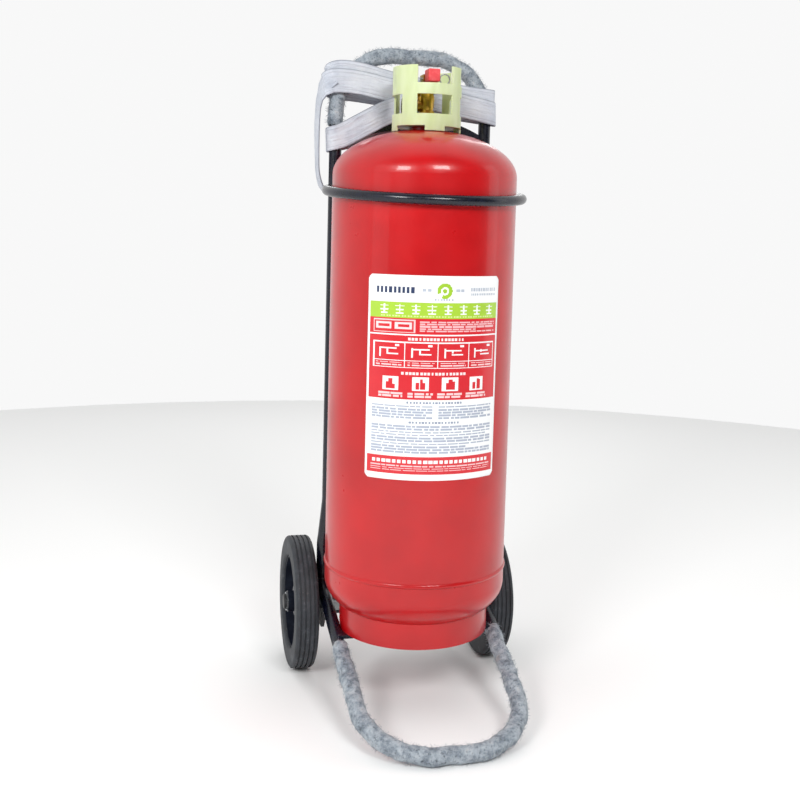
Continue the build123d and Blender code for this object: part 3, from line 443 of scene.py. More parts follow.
class ExtinguisherHose(bpy.types.PropertyGroup):
    width: FloatProperty(
        name="Flat width", description="Width of the empty hose", default=0.042, unit="LENGTH"
    )
    thickness: FloatProperty(
        name="Flat thickness", description="Thickness of the empty hose", default=0.0026, unit="LENGTH"
    )
    length: FloatProperty(
        name="Hose length", description="Length from ferrule to nozzle", default=4.0, unit="LENGTH"
    )


class ExtinguisherFelt(bpy.types.PropertyGroup):
    tube_radius: FloatProperty(
        name="Tube radius", description="Outer radius of the steel tube", default=0.011, unit="LENGTH"
    )
    strip_width: FloatProperty(
        name="Strip width",
        description="Advance of the wound strip in one turn",
        default=0.046,
        unit="LENGTH",
    )
    fibres: IntProperty(name="Fibres", description="Loose fibres on each wrap", default=2600, min=0)


class ExtinguisherStage(bpy.types.PropertyGroup):
    distance: FloatProperty(
        name="Camera distance", description="Camera to the cylinder's axis", default=1.9, unit="LENGTH"
    )
    floor: FloatVectorProperty(
        name="Floor colour",
        description="Colour of the plain floor and wall",
        default=linear("FAFAF9")[:3],
        subtype="COLOR",
        min=0.0,
        max=1.0,
    )
    sun: FloatProperty(
        name="Soft light", description="Strength of the room's light", default=0.94, min=0.0
    )


# ---- camera ----
LENS_MM = 49.66
LENS_SHIFT = (-0.0257, -0.0896)
CAMERA_AZIMUTH_DEG = 14.65
CAMERA_Z = 0.823
CAMERA_TILT_DEG = 84.63
CAMERA_ROLL_DEG = 1.61


class EXTINGUISHER_OT_camera(bpy.types.Operator):
    """Place the camera low in front and a little to the left of the cylinder"""

    bl_idname = "extinguisher.camera"
    bl_label = "Camera"

    def execute(self, context):
        stage = context.scene.extinguisher_stage
        data = bpy.data.cameras.new("camera")
        data.lens = LENS_MM
        data.sensor_width = 36.0
        data.shift_x, data.shift_y = LENS_SHIFT
        camera = bpy.data.objects.new("camera", data)
        context.scene.collection.objects.link(camera)
        azimuth = math.radians(CAMERA_AZIMUTH_DEG)
        camera.location = (
            -stage.distance * math.sin(azimuth),
            AXIS_Y - stage.distance * math.cos(azimuth),
            CAMERA_Z,
        )
        aim = Euler((math.radians(CAMERA_TILT_DEG), 0, -azimuth)).to_quaternion()
        roll = Euler((0, 0, math.radians(CAMERA_ROLL_DEG))).to_quaternion()
        camera.rotation_euler = (aim @ roll).to_euler()
        context.scene.camera = camera
        return {"FINISHED"}


# ---- hose ----
LEG_X = 0.137
LEG_Y = AXIS_Y + 0.106
INNER_LAYER = 0.0159
OUTER_LAYER = 0.0189
UP = (0.0, 0.0, 1.0)
BACK = (0.0, 1.0, 0.0)
# A control polygon of 45 degree steps lies this much outside the circle that its spline draws.
OCTAGON = 1 / 0.925
DECAGON = 1 / 0.9515


def around_leg(side, layer, heights):
    """Control points half round a leg, seen from above, clockwise: to the back on the left."""
    points = []
    for step, z in enumerate(heights):
        angle = math.radians(22.5 + 45 * step)
        x = side * LEG_X + side * layer * OCTAGON * math.sin(angle)
        points.append((x, LEG_Y + side * layer * OCTAGON * math.cos(angle), z))
    return points


def hank_points():
    """Control points of two upright turns behind the cylinder, the second inside the first."""
    centre_x = 0.020
    y = AXIS_Y + 0.190
    top_z, bottom_z = 0.792, 0.498
    points = []
    for turn, radius in enumerate((0.0855, 0.0655)):
        later = 0.0655
        for angle in (54, 18):
            points.append((angle, radius, top_z))
        points += [(0, radius, 0.700), (0, radius, 0.590)]
        for angle in (-18, -54, -90, -126, -162):
            points.append((angle, radius, bottom_z))
        points += [(180, (radius + later) / 2, 0.590), (180, later, 0.700)]
        if turn == 0:
            for angle in (162, 126, 90):
                points.append((angle, later, top_z))
    placed = []
    for angle, radius, z in points:
        turn = math.radians(angle)
        reach = radius if angle in (0, 180) else radius * DECAGON
        lift = 0.0 if angle in (0, 180) else reach * math.sin(turn)
        placed.append((centre_x + reach * math.cos(turn), y, z + lift))
    return placed


def hose_route():
    """Control points of the hose, each with the direction of the flat hose's width there."""
    y = AXIS_Y
    front_in = LEG_Y - INNER_LAYER
    front_out = LEG_Y - OUTER_LAYER
    back_in = LEG_Y + INNER_LAYER
    back_out = LEG_Y + OUTER_LAYER
    wound = [
        (0.0, y + 0.064, 1.033),
        (0.0, y + 0.074, 1.033),
        (-0.008, y + 0.0815, 1.032),
        (-0.045, y + 0.083, 1.0215),
        (-0.095, y + 0.087, 0.993),
        (-0.126, front_in, 0.975),
        *around_leg(-1, INNER_LAYER, (0.9695, 0.967, 0.966, 0.967)),
        (-0.07, back_in, 0.985),
        (0.07, back_in, 1.028),
        *around_leg(1, INNER_LAYER, (1.045, 1.047, 1.048, 1.048)),
        (0.07, front_in, 1.0535),
        (-0.045, front_in, 1.068),
        (-0.10, front_in, 1.083),
        *around_leg(-1, INNER_LAYER, (1.084, 1.070, 1.063, 1.061)),
        (-0.07, back_in + 0.0006, 1.056),
        (0.07, back_out - 0.0008, 1.036),
        *around_leg(1, OUTER_LAYER, (1.029, 1.026, 1.025, 1.027)),
        (0.07, front_out, 1.040),
        (-0.045, front_out, 1.0565),
        (-0.10, front_out, 1.068),
        (-0.1448, front_out, 1.069),
        (-0.1572, LEG_Y - 0.0115, 1.063),
    ]
    fall = [
        ((-0.1612, y + 0.105, 1.055), (0.0, 0.35, 0.94)),
        ((-0.1655, y + 0.115, 1.038), (0.0, 0.85, 0.53)),
        ((-0.1680, y + 0.116, 1.012), BACK),
        ((-0.1690, y + 0.113, 0.985), BACK),
        ((-0.1680, y + 0.116, 0.945), BACK),
        ((-0.1640, y + 0.129, 0.905), BACK),
        ((-0.1470, y + 0.152, 0.876), BACK),
        ((-0.1110, y + 0.176, 0.868), BACK),
        ((-0.0600, y + 0.188, 0.873), BACK),
        ((-0.0050, y + 0.190, 0.882), BACK),
    ]
    end = [
        (-0.0460, y + 0.190, 0.746),
        (-0.0280, y + 0.190, 0.776),
        (-0.0020, y + 0.190, 0.792),
        (0.0200, y + 0.190, 0.769),
        (0.0200, y + 0.190, 0.742),
    ]
    route = [(point, UP) for point in wound] + fall
    return route + [(point, BACK) for point in hank_points() + end]


def drawn(name, data):
    """The points that Blender draws along a curve."""
    line = bpy.data.objects.new(name, data)
    bpy.context.scene.collection.objects.link(line)
    bpy.context.view_layer.update()
    graph = bpy.context.evaluated_depsgraph_get()
    mesh = bpy.data.meshes.new_from_object(line.evaluated_get(graph))
    found = [vertex.co.copy() for vertex in mesh.vertices]
    bpy.data.objects.remove(line)
    bpy.data.meshes.remove(mesh)
    return found


def spline_points(name, points, steps):
    """Points along one smooth NURBS curve through a route's control points."""
    data = bpy.data.curves.new(name, "CURVE")
    data.dimensions = "3D"
    data.resolution_u = steps
    spline = data.splines.new("NURBS")
    spline.points.add(len(points) - 1)
    for target, point in zip(spline.points, points):
        target.co = (*point, 1.0)
    spline.order_u = 3
    spline.use_endpoint_u = True
    return drawn(name, data)


def smooth(value):
    value = min(max(value, 0.0), 1.0)
    return value * value * (3 - 2 * value)


def hose_section(width, thickness, roundness):
    """Outline of the hose across its length: flat with thicker folded edges, or round."""
    outline = []
    corners = 20
    for i in range(corners):
        angle = 2 * math.pi * i / corners
        across, out = math.cos(angle), math.sin(angle)
        flat_x = width / 2 * math.copysign(abs(across) ** 0.45, across)
        swell = 1.0 + 0.28 * smooth((abs(flat_x) - 0.32 * width) / (0.15 * width))
        flat_y = thickness / 2 * math.copysign(abs(out) ** 0.6, out) * swell
        ends = 0.0118
        outline.append(
            (flat_x + (ends * across - flat_x) * roundness, flat_y + (ends * out - flat_y) * roundness)
        )
    return outline


class EXTINGUISHER_OT_hose(bpy.types.Operator):
    """Make the flat woven hose: two turns round the handle, a hanging strip and a hank behind"""

    bl_idname = "extinguisher.hose"
    bl_label = "Flat hose"

    def execute(self, context):
        hose = context.scene.extinguisher_hose
        route = hose_route()
        line = spline_points("hose_line", [point for point, _ in route], 12)
        runs = [(b - a).length for a, b in zip(line, line[1:])]
        travelled = [0.0]
        for run in runs:
            travelled.append(travelled[-1] + run)
        total = travelled[-1]
        rings, stations = [], []
        spans = len(route) - 2
        for i, centre in enumerate(line):
            ahead = line[min(i + 1, len(line) - 1)] - line[max(i - 1, 0)]
            ahead.normalize()
            place = min(max(i / (len(line) - 1) * spans + 0.5, 0.0), len(route) - 1.0)
            before = min(int(place), len(route) - 2)
            width_a, width_b = Vector(route[before][1]), Vector(route[before + 1][1])
            across = width_a.lerp(width_b, smooth(place - before))
            # The hose is limp, so its width rocks a little from side to side along it.
            s = travelled[i]
            across += 0.05 * math.sin(s * 23.0) * ahead.cross(across)
            across = (across - across.dot(ahead) * ahead).normalized()
            out = ahead.cross(across).normalized()
            from_end = min(s, total - s)
            roundness = 1.0 - smooth((from_end - 0.004) / 0.034)
            outline = hose_section(hose.width, hose.thickness, roundness)
            rings.append([centre + across * x + out * y for x, y in outline])
            stations.append(s * 1000)
        points, faces = swept(rings)
        piece = new_piece("flat_hose", points, faces, finish_of("hose_weave"))
        count = len(rings[0])
        widths = np.cumsum([0.0] + [
            (rings[60][(i + 1) % count] - rings[60][i]).length * 1000 for i in range(count)
        ])
        uv = piece.data.uv_layers.new(name="length_mm")
        for polygon in piece.data.polygons:
            columns = [piece.data.loops[k].vertex_index % count for k in polygon.loop_indices]
            wraps = 0 in columns and count - 1 in columns
            for k, column in zip(polygon.loop_indices, columns):
                row = min(piece.data.loops[k].vertex_index // count, len(rings) - 1)
                v = widths[count] if wraps and column == 0 else widths[column]
                uv.data[k].uv = (stations[row], v)
        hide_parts("hose_lead", "hose_turns", "hose_drop", "hose_hank", "hose_end")
        print("hose length", round(total, 3))
        return {"FINISHED"}


# ---- felt wraps ----
def bent_line(name, points, handles):
    """Points every two millimetres or so along a tube's centre line, from Bezier points."""
    data = bpy.data.curves.new(name, "CURVE")
    data.dimensions = "3D"
    data.resolution_u = 64
    spline = data.splines.new("BEZIER")
    spline.bezier_points.add(len(points) - 1)
    for target, point, (left, right) in zip(spline.bezier_points, points, handles):
        target.co, target.handle_left, target.handle_right = point, left, right
    return drawn(name, data)


def bow_line(name, first, corner, last, radius):
    """Centre line of a tube that bends twice, mirrored about the middle but for its two ends."""
    corner = Vector(corner)
    side = (Vector(last) - corner).normalized()
    bridge = Vector((-1, 0, 0))
    turn = math.pi - side.angle(bridge)
    reach = radius * math.tan(turn / 2)
    pull = radius * 4 / 3 * math.tan(turn / 4)
    low, high = corner + side * reach, corner + bridge * reach
    flip = Vector((-1, 1, 1))
    right = [
        (Vector(last), Vector(last), low.lerp(Vector(last), 0.67)),
        (low, low.lerp(Vector(last), 0.33), low - side * pull),
        (high, high - bridge * pull, high + bridge * 0.01),
    ]
    left = [(p * flip, b * flip, a * flip) for p, a, b in reversed(right)]
    left[-1] = (Vector(first), Vector(first).lerp(left[1][0], 0.33), Vector(first))
    ordered = right + left
    return bent_line(name, [p for p, _, _ in ordered], [(a, b) for _, a, b in ordered])


def even(line, step):
    """The same line with points an equal distance apart."""
    travelled = np.cumsum([0.0] + [(b - a).length for a, b in zip(line, line[1:])])
    count = int(travelled[-1] / step)
    marks = np.linspace(0.0, travelled[-1], count + 1)
    columns = [np.interp(marks, travelled, [p[axis] for p in line]) for axis in range(3)]
    return [Vector(p) for p in zip(*columns)], marks


def felt_radius(s, angle, felt, height, seed):
    """Outer radius of a wound felt strip at a place along the tube and round it."""
    phase = (s / felt.strip_width + angle / (2 * math.pi)) % 1.0
    # The strip's free edge stands proud, then the next turn sinks back to the tube.
    ridge = 0.0011 * smooth(phase / 0.9) * (1 - smooth((phase - 0.93) / 0.07))
    spot = Vector((s, math.cos(angle) * 0.014, math.sin(angle) * 0.014 + seed))
    lump = 0.0017 * noise.noise(spot * 38) + 0.0009 * noise.noise(spot * 110)
    fluff = 0.00045 * noise.noise(spot * 420) + 0.0003 * noise.noise(spot * 900)
    return height + ridge + lump + fluff


def felt_wrap(name, line, node, height, seed):
    """A lumpy sleeve of wound felt on a tube, ragged at its two ends."""
    felt = bpy.context.scene.extinguisher_felt
    spots, marks = even(line, 0.0022)
    corners = 48
    total = marks[-1]
    rings = []
    normal = Vector((0, 1, 0))
    for i, centre in enumerate(spots):
        ahead = (spots[min(i + 1, len(spots) - 1)] - spots[max(i - 1, 0)]).normalized()
        normal = (normal - normal.dot(ahead) * ahead).normalized()
        sideways = ahead.cross(normal)
        s = marks[i]
        from_end = min(s, total - s)
        ring = []
        for corner in range(corners):
            angle = 2 * math.pi * corner / corners
            radius = felt_radius(s, angle, felt, height, seed)
            radius -= 0.0016 * (1 - smooth(from_end / 0.006))
            out = math.cos(angle) * normal + math.sin(angle) * sideways
            point = centre + out * max(radius, felt.tube_radius + 0.0004)
            # Both ends are torn, so their edge wanders along the tube.
            torn = 0.004 * noise.noise(Vector((angle * 1.3, seed, s > total / 2)))
            torn += 0.0015 * noise.noise(Vector((math.cos(angle) * 4, math.sin(angle) * 4, seed + 3)))
            point += ahead * torn * (1 - smooth(from_end / 0.02))
            point.z = max(point.z, FLOOR_Z)
            ring.append(point)
        rings.append(ring)
    outer_points, faces = [p for ring in rings for p in ring], []
    for row in range(len(rings) - 1):
        for i in range(corners):
            a, b = row * corners + i, row * corners + (i + 1) % corners
            faces.append((a, b, b + corners, a + corners))
    # Each end turns in to the tube, so the sleeve's wall shows its thickness.
    for row, order in ((0, -1), (len(rings) - 1, 1)):
        start = len(outer_points)
        for corner in range(corners):
            point = rings[row][corner]
            out = point - spots[row]
            ahead = (spots[1] - spots[0] if row == 0 else spots[-1] - spots[-2]).normalized()
            out -= out.dot(ahead) * ahead
            inner = point - out * (1 - (felt.tube_radius - 0.0003) / out.length)
            outer_points.append(inner)
        for i in range(corners):
            j = (i + 1) % corners
            quad = (row * corners + i, row * corners + j, start + j, start + i)
            faces.append(quad[::order])
        end = len(outer_points)
        outer_points.append(spots[row])
        for i in range(corners):
            faces.append((start + i, start + (i + 1) % corners, end)[::order])
    piece = new_piece(name, outer_points, faces, finish_of("felt_wrap"))
    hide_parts(node)
    return piece


def sockets(tree, **kinds):
    """Give a tree its geometry in and out and its named values, and return its inputs."""
    face = tree.interface
    face.new_socket("Geometry", in_out="INPUT", socket_type="NodeSocketGeometry")
    for name, kind in kinds.items():
        face.new_socket(name.replace("_", " "), in_out="INPUT", socket_type="NodeSocket" + kind)
    face.new_socket("Geometry", in_out="OUTPUT", socket_type="NodeSocketGeometry")
    return add_node(tree, "NodeGroupInput").outputs


def closed_off(tree, placed, material):
    """Make the instances real, give them their material and send them out."""
    real = add_node(tree, "GeometryNodeRealizeInstances", {0: placed.outputs[0]})
    coat = {"Geometry": real.outputs[0], "Material": material}
    coated = add_node(tree, "GeometryNodeSetMaterial", coat)
    add_node(tree, "NodeGroupOutput", {0: coated.outputs[0]})
    return tree


def fibre_tree(material):
    """Geometry Nodes that scatter short bent fibres over a surface."""
    tree = bpy.data.node_groups.new("loose_fibres", "GeometryNodeTree")
    given = sockets(tree, Density="Float", Fibre_Length="Float", Fibre_Radius="Float", Seed="Int")
    spots = add_node(
        tree,
        "GeometryNodeDistributePointsOnFaces",
        {"Mesh": given["Geometry"], "Density": given["Density"], "Seed": given["Seed"]},
    )
    stem = add_node(
        tree,
        "GeometryNodeCurvePrimitiveBezierSegment",
        {
            "Resolution": 3,
            "Start": (0, 0, -0.1),
            "Start Handle": (0, 0, 0.4),
            "End Handle": (0.3, 0, 0.7),
            "End": (0.8, 0, 0.8),
        },
    )
    profile = add_node(tree, "GeometryNodeCurvePrimitiveCircle", {"Resolution": 3})
    tree.links.new(given["Fibre Radius"], profile.inputs["Radius"])
    body = add_node(
        tree,
        "GeometryNodeCurveToMesh",
        {"Curve": stem.outputs[0], "Profile Curve": profile.outputs[0], "Fill Caps": True},
    )
    spin = add_node(
        tree,
        "FunctionNodeRandomValue",
        {"Min": (-0.9, -0.9, 0.0), "Max": (0.9, 0.9, 2 * math.pi), "Seed": 5},
        data_type="FLOAT_VECTOR",
    )
    turned = add_node(
        tree,
        "FunctionNodeRotateEuler",
        {"Rotation": spots.outputs["Rotation"]},
        space="LOCAL",
    )
    tree.links.new(spin.outputs[0], turned.inputs["Rotate By"])
    size = add_node(tree, "FunctionNodeRandomValue", {"Seed": 9})
    size.inputs[2].default_value = 0.5
    size.inputs[3].default_value = 1.3
    scaled = add_node(tree, "ShaderNodeMath", {1: given["Fibre Length"]}, operation="MULTIPLY")
    tree.links.new(size.outputs[1], scaled.inputs[0])
    placed = add_node(
        tree,
        "GeometryNodeInstanceOnPoints",
        {"Points": spots.outputs[0], "Instance": body.outputs[0], "Rotation": turned.outputs[0]},
    )
    tree.links.new(scaled.outputs[0], placed.inputs["Scale"])
    return closed_off(tree, placed, material)


def grown(name, base, tree, values):
    """Bake a Geometry Nodes tree, run over a copy of a piece's mesh, into a plain piece."""
    carrier = bpy.data.objects.new(name + "_base", base)
    bpy.context.scene.collection.objects.link(carrier)
    modifier = carrier.modifiers.new("grow", "NODES")
    modifier.node_group = tree
    for item in tree.interface.items_tree:
        if item.in_out == "INPUT" and item.name in values:
            modifier[item.identifier] = values[item.name]
    bpy.context.view_layer.update()
    graph = bpy.context.evaluated_depsgraph_get()
    mesh = bpy.data.meshes.new_from_object(carrier.evaluated_get(graph))
    bpy.data.objects.remove(carrier)
    mesh.name = name
    for vertex in mesh.vertices:
        vertex.co.z = max(vertex.co.z, FLOOR_Z)
    piece = bpy.data.objects.new(name, mesh)
    bpy.context.scene.collection.objects.link(piece)
    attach(piece, TROLLEY)
    return piece


class EXTINGUISHER_OT_felt(bpy.types.Operator):
    """Wind felt round the top of the handle and round the foot loop"""

    bl_idname = "extinguisher.felt"
    bl_label = "Felt wraps"

    def execute(self, context):
        felt = context.scene.extinguisher_felt
        handle = bow_line(
            "handle_line",
            (-LEG_X, LEG_Y, 0.992),
            (LEG_X, LEG_Y, 1.118),
            (LEG_X, LEG_Y, 1.012),
            0.100,
        )
        loop = bow_line(
            "loop_line",
            (-0.1395, AXIS_Y - 0.047, 0.1049),
            (0.131, AXIS_Y - 0.285, 0.0145),
            (0.1384, AXIS_Y - 0.030, 0.1113),
            0.112,
        )
        wraps = (
            ("handle_felt", handle, "handle_wrap", 0.0128, 2.0),
            ("foot_felt", loop, "foot_wrap", 0.0134, 7.0),
        )
        tree = fibre_tree(finish_of("felt_wrap"))
        for name, line, node, height, seed in wraps:
            piece = felt_wrap(name, line, node, height, seed)
            area = sum(polygon.area for polygon in piece.data.polygons)
            values = {
                "Density": felt.fibres / area,
                "Fibre Length": 0.0042,
                "Fibre Radius": 0.045,
                "Seed": int(seed),
            }
            grown(name + "_fibres", piece.data.copy(), tree, values)
        return {"FINISHED"}


# ---- label ----
WHITE, RED, LIME, NAVY, GREY, SLATE = "F3F4F4", "D3202B", "A6CE39", "2B3A5E", "B5BCC9", "8C97AB"


def bars(x0, x1, y0, y1, colour, count, fill=0.72):
    """A row of plain blocks, evenly spaced."""
    pitch = (x1 - x0) / count
    return [(x0 + i * pitch, x0 + (i + fill) * pitch, y0, y1, colour) for i in range(count)]


def lines(x0, x1, y0, y1, rows, colour, seed, cover=0.62):
    """Rows of fine broken lines that fill a block, as small print does."""
    chance = np.random.RandomState(seed)
    pitch = (y1 - y0) / rows
    marks = []
    for row in range(rows):
        x = x0
        stop = x1 - chance.rand() * 0.35 * (x1 - x0) * (row % 4 == 3)
        top = y0 + row * pitch
        while x < stop:
            run = 0.02 + 0.07 * chance.rand()
            marks.append((x, min(x + run, stop), top, top + pitch * cover, colour))
            x += run + 0.008
    return marks


def box_outline(x0, x1, y0, y1, colour, line_x=0.007, line_y=0.0042):
    return [
        (x0, x1, y0, y0 + line_y, colour),
        (x0, x1, y1 - line_y, y1, colour),
        (x0, x0 + line_x, y0, y1, colour),
        (x1 - line_x, x1, y0, y1, colour),
    ]


def label_layout():
    """Printed areas as (left, right, top, bottom, colour), in shares of the label."""
    marks = [(0, 1, 0, 1, WHITE)]
    marks += bars(0.065, 0.345, 0.058, 0.087, NAVY, 9, 0.62)
    marks += bars(0.39, 0.46, 0.063, 0.078, GREY, 2)
    marks += bars(0.625, 0.695, 0.063, 0.078, GREY, 2)
    marks += bars(0.475, 0.61, 0.112, 0.122, GREY, 7, 0.6)
    marks += bars(0.735, 0.965, 0.058, 0.073, GREY, 11, 0.66)
    marks += bars(0.735, 0.965, 0.083, 0.093, GREY, 14, 0.6)
    marks += [(0.02, 0.98, 0.130, 0.207, LIME)]
    for i in range(8):
        left = 0.095 + i * 0.111
        marks += [
            (left, left + 0.062, 0.146, 0.152, WHITE),
            (left + 0.026, left + 0.036, 0.140, 0.186, WHITE),
            (left + 0.004 * (i % 3), left + 0.058, 0.164, 0.170, WHITE),
            (left + 0.006, left + 0.056, 0.180, 0.186, WHITE),
        ]
    marks += bars(0.10, 0.95, 0.193, 0.200, "D6E89A", 40, 0.6)
    marks += [(0.02, 0.98, 0.207, 0.884, RED), (0.02, 0.98, 0.2855, 0.2895, WHITE)]
    marks += box_outline(0.045, 0.345, 0.215, 0.278, "F0C9C9")
    marks += [(0.065, 0.18, 0.228, 0.262, "F2D5D6"), (0.205, 0.325, 0.228, 0.262, "F2D5D6")]
    marks += [(0.082, 0.165, 0.238, 0.252, RED), (0.225, 0.305, 0.239, 0.251, RED)]
    marks += lines(0.375, 0.96, 0.220, 0.276, 5, "EBB9BC", 3)
    marks += bars(0.30, 0.70, 0.302, 0.316, "F6E3E3", 16, 0.66)
    marks += box_outline(0.05, 0.96, 0.3225, 0.4485, WHITE)
    marks += [(0.05, 0.96, 0.411, 0.415, WHITE)]
    for i in range(4):
        left = 0.05 + i * 0.2275
        marks += [(left, left + 0.006, 0.3225, 0.4485, WHITE)]
        marks += [
            (left + 0.045, left + 0.055, 0.350, 0.398, WHITE),
            (left + 0.045, left + 0.17, 0.350 + 0.004 * i, 0.357 + 0.004 * i, WHITE),
            (left + 0.10, left + 0.11, 0.357, 0.385 - 0.005 * i, WHITE),
            (left + 0.10, left + 0.185, 0.378, 0.384, WHITE),
            (left + 0.16, left + 0.19, 0.336, 0.345, WHITE),
        ]
        marks += lines(left + 0.02, left + 0.21, 0.420, 0.444, 2, "F2CFD0", 10 + i, 0.5)
    marks += bars(0.26, 0.72, 0.467, 0.481, "F6E3E3", 18, 0.66)
    for i in range(4):
        left = 0.125 + i * 0.208
        marks += [(left, left + 0.115, 0.490, 0.560, WHITE)]
        marks += [
            (left + 0.025, left + 0.05, 0.520, 0.552, RED),
            (left + 0.045 + 0.012 * (i % 2), left + 0.075, 0.503, 0.552, RED),
            (left + 0.07, left + 0.092, 0.528 - 0.008 * i, 0.552, RED),
        ]
        marks += lines(left - 0.03, left + 0.145, 0.570, 0.597, 2, "F2CFD0", 20 + i, 0.55)
    marks += [(0.02, 0.98, 0.602, 0.884, WHITE)]
    marks += bars(0.30, 0.70, 0.611, 0.622, SLATE, 18, 0.6)
    marks += lines(0.05, 0.48, 0.632, 0.700, 5, "A9B1C2", 31)
    marks += lines(0.52, 0.95, 0.632, 0.700, 5, "A9B1C2", 32)
    marks += bars(0.32, 0.68, 0.708, 0.719, SLATE, 16, 0.6)
    marks += lines(0.05, 0.95, 0.729, 0.872, 10, "A9B1C2", 33)
    marks += [(0.02, 0.98, 0.884, 0.970, RED)]
    marks += bars(0.06, 0.94, 0.900, 0.917, WHITE, 24, 0.7)
    marks += lines(0.05, 0.95, 0.928, 0.960, 3, "F0C4C6", 34, 0.5)
    return marks


class EXTINGUISHER_OT_label(bpy.types.Operator):
    """Print the instruction label: plain blocks and lines in the real label's places"""

    bl_idname = "extinguisher.label"
    bl_label = "Label"

    def execute(self, context):
        low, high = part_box("front_label")
        film = frame["nodes"]["front_label"].data
        flat = [(v.co.x, v.co.y - AXIS_Y) for v in film.vertices]
        radius = max(math.hypot(x, y) for x, y in flat) + 0.0001
        angles = [math.atan2(x, -y) for x, y in flat]
        first, last = min(angles), max(angles)
        width, height = (last - first) * radius, high.z - low.z
        columns, rows = int(width / 0.0014), int(height / 0.0011)
        ink = np.zeros((rows, columns, 4))
        x_mid = (np.arange(columns) + 0.5) / columns
        y_mid = (np.arange(rows) + 0.5) / rows
        for x0, x1, y0, y1, colour in label_layout():
            across = (x_mid >= x0) & (x_mid < x1)
            down = (y_mid >= y0) & (y_mid < y1)
            ink[np.ix_(down, across)] = linear(colour)
        x_m, y_m = np.meshgrid(x_mid * width, y_mid * height)
        away = np.hypot(x_m - 0.543 * width, y_m - 0.073 * height)
        turn = np.arctan2(y_m - 0.073 * height, x_m - 0.543 * width)
        emblem = (away < 0.0125) & (away > 0.0065) & (np.abs(turn - 2.4) > 0.35)
        ink[emblem | (away < 0.0035)] = linear("9CC62E")
        corner = 0.009
        dx = np.maximum(corner - np.minimum(x_m, width - x_m), 0)
        dy = np.maximum(corner - np.minimum(y_m, height - y_m), 0)
        kept = np.hypot(dx, dy) <= corner
        points, index = [], {}

        def corner_index(row, column):
            key = (row, column)
            if key not in index:
                angle = first + (last - first) * column / columns
                z = high.z - height * row / rows
                index[key] = len(points)
                points.append((radius * math.sin(angle), AXIS_Y - radius * math.cos(angle), z))
            return index[key]

        faces, inks = [], []
        edges = {}
        for row in range(rows):
            for column in range(columns):
                if not kept[row, column]:
                    continue
                quad = (
                    corner_index(row + 1, column),
                    corner_index(row + 1, column + 1),
                    corner_index(row, column + 1),
                    corner_index(row, column),
                )
                faces.append(quad)
                inks.append(tuple(ink[row, column]))
                for a, b in zip(quad, quad[1:] + quad[:1]):
                    if (b, a) in edges:
                        del edges[(b, a)]
                    else:
                        edges[(a, b)] = True
        inner = {}
        for a, b in edges:
            for k in (a, b):
                if k not in inner:
                    x, y, z = points[k]
                    share = (radius - 0.0004) / radius
                    inner[k] = len(points)
                    points.append((x * share, AXIS_Y + (y - AXIS_Y) * share, z))
            faces.append((b, a, inner[a], inner[b]))
            inks.append(linear(WHITE))
        piece = new_piece("instruction_label", points, faces, finish_of("label_film"))
        attribute = piece.data.color_attributes.new("ink", "FLOAT_COLOR", "CORNER")
        attribute.data.foreach_set("color", np.repeat(np.array(inks), 4, axis=0).ravel())
        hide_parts("front_label")
        return {"FINISHED"}


# ---- welds ----
def weld_tree(material):
    """Geometry Nodes that lay overlapping flattened drops along lines."""
    tree = bpy.data.node_groups.new("weld_drops", "GeometryNodeTree")
    given = sockets(tree, Pitch="Float", Drop_Radius="Float")
    curve = add_node(tree, "GeometryNodeMeshToCurve", {0: given["Geometry"]})
    spots = add_node(tree, "GeometryNodeCurveToPoints", {"Curve": curve.outputs[0]}, mode="LENGTH")
    tree.links.new(given["Pitch"], spots.inputs["Length"])
    drop = add_node(tree, "GeometryNodeMeshIcoSphere", {"Subdivisions": 2})
    tree.links.new(given["Drop Radius"], drop.inputs["Radius"])
    vary = add_node(tree, "FunctionNodeRandomValue", {"Seed": 4})
    vary.inputs[2].default_value = 0.85
    vary.inputs[3].default_value = 1.15
    placed = add_node(
        tree,
        "GeometryNodeInstanceOnPoints",
        {"Points": spots.outputs[0], "Instance": drop.outputs[0], "Rotation": spots.outputs["Rotation"]},
    )
    tree.links.new(vary.outputs[1], placed.inputs["Scale"])
    return closed_off(tree, placed, material)


class EXTINGUISHER_OT_welds(bpy.types.Operator):
    """Lay weld beads where the crossbar and axle plates meet the tube"""

    bl_idname = "extinguisher.welds"
    bl_label = "Weld beads"

    def execute(self, context):
        seams = []
        for side in (-1, 1):
            for y in (0.103, 0.109):
                seams.append(((side * 0.1266, AXIS_Y + y, 0.955), (side * 0.1266, AXIS_Y + y, 0.981)))
            for x in (0.142, 0.148):
                for y in (LEG_Y - 0.0105, LEG_Y + 0.0105):
                    seams.append(((side * x, y, 0.165), (side * x, y, 0.204)))
        mesh = bpy.data.meshes.new("seams")
        points = [point for seam in seams for point in seam]
        mesh.from_pydata(points, [(2 * i, 2 * i + 1) for i in range(len(seams))], [])
        values = {"Pitch": 0.0017, "Drop Radius": 0.0019}
        tree = weld_tree(finish_of("frame_paint"))
        grown("weld_beads", mesh, tree, values)
        return {"FINISHED"}


# ---- finish of the CAD parts ----
class EXTINGUISHER_OT_finish(bpy.types.Operator):
    """Make the materials and put them on the CAD parts"""

    bl_idname = "extinguisher.finish"
    bl_label = "Materials"

    def execute(self, context):
        made = finishes()
        for slot, material in made.items():
            context.scene["slot_" + slot] = material.name
        for part in frame["record"]["subparts"]:
            piece = frame["nodes"][part["node"]]
            piece.data.materials.clear()
            piece.data.materials.append(made[part["material_slot"]])
        return {"FINISHED"}


# ---- stage ----
FLOOR_RADIUS = 3.2
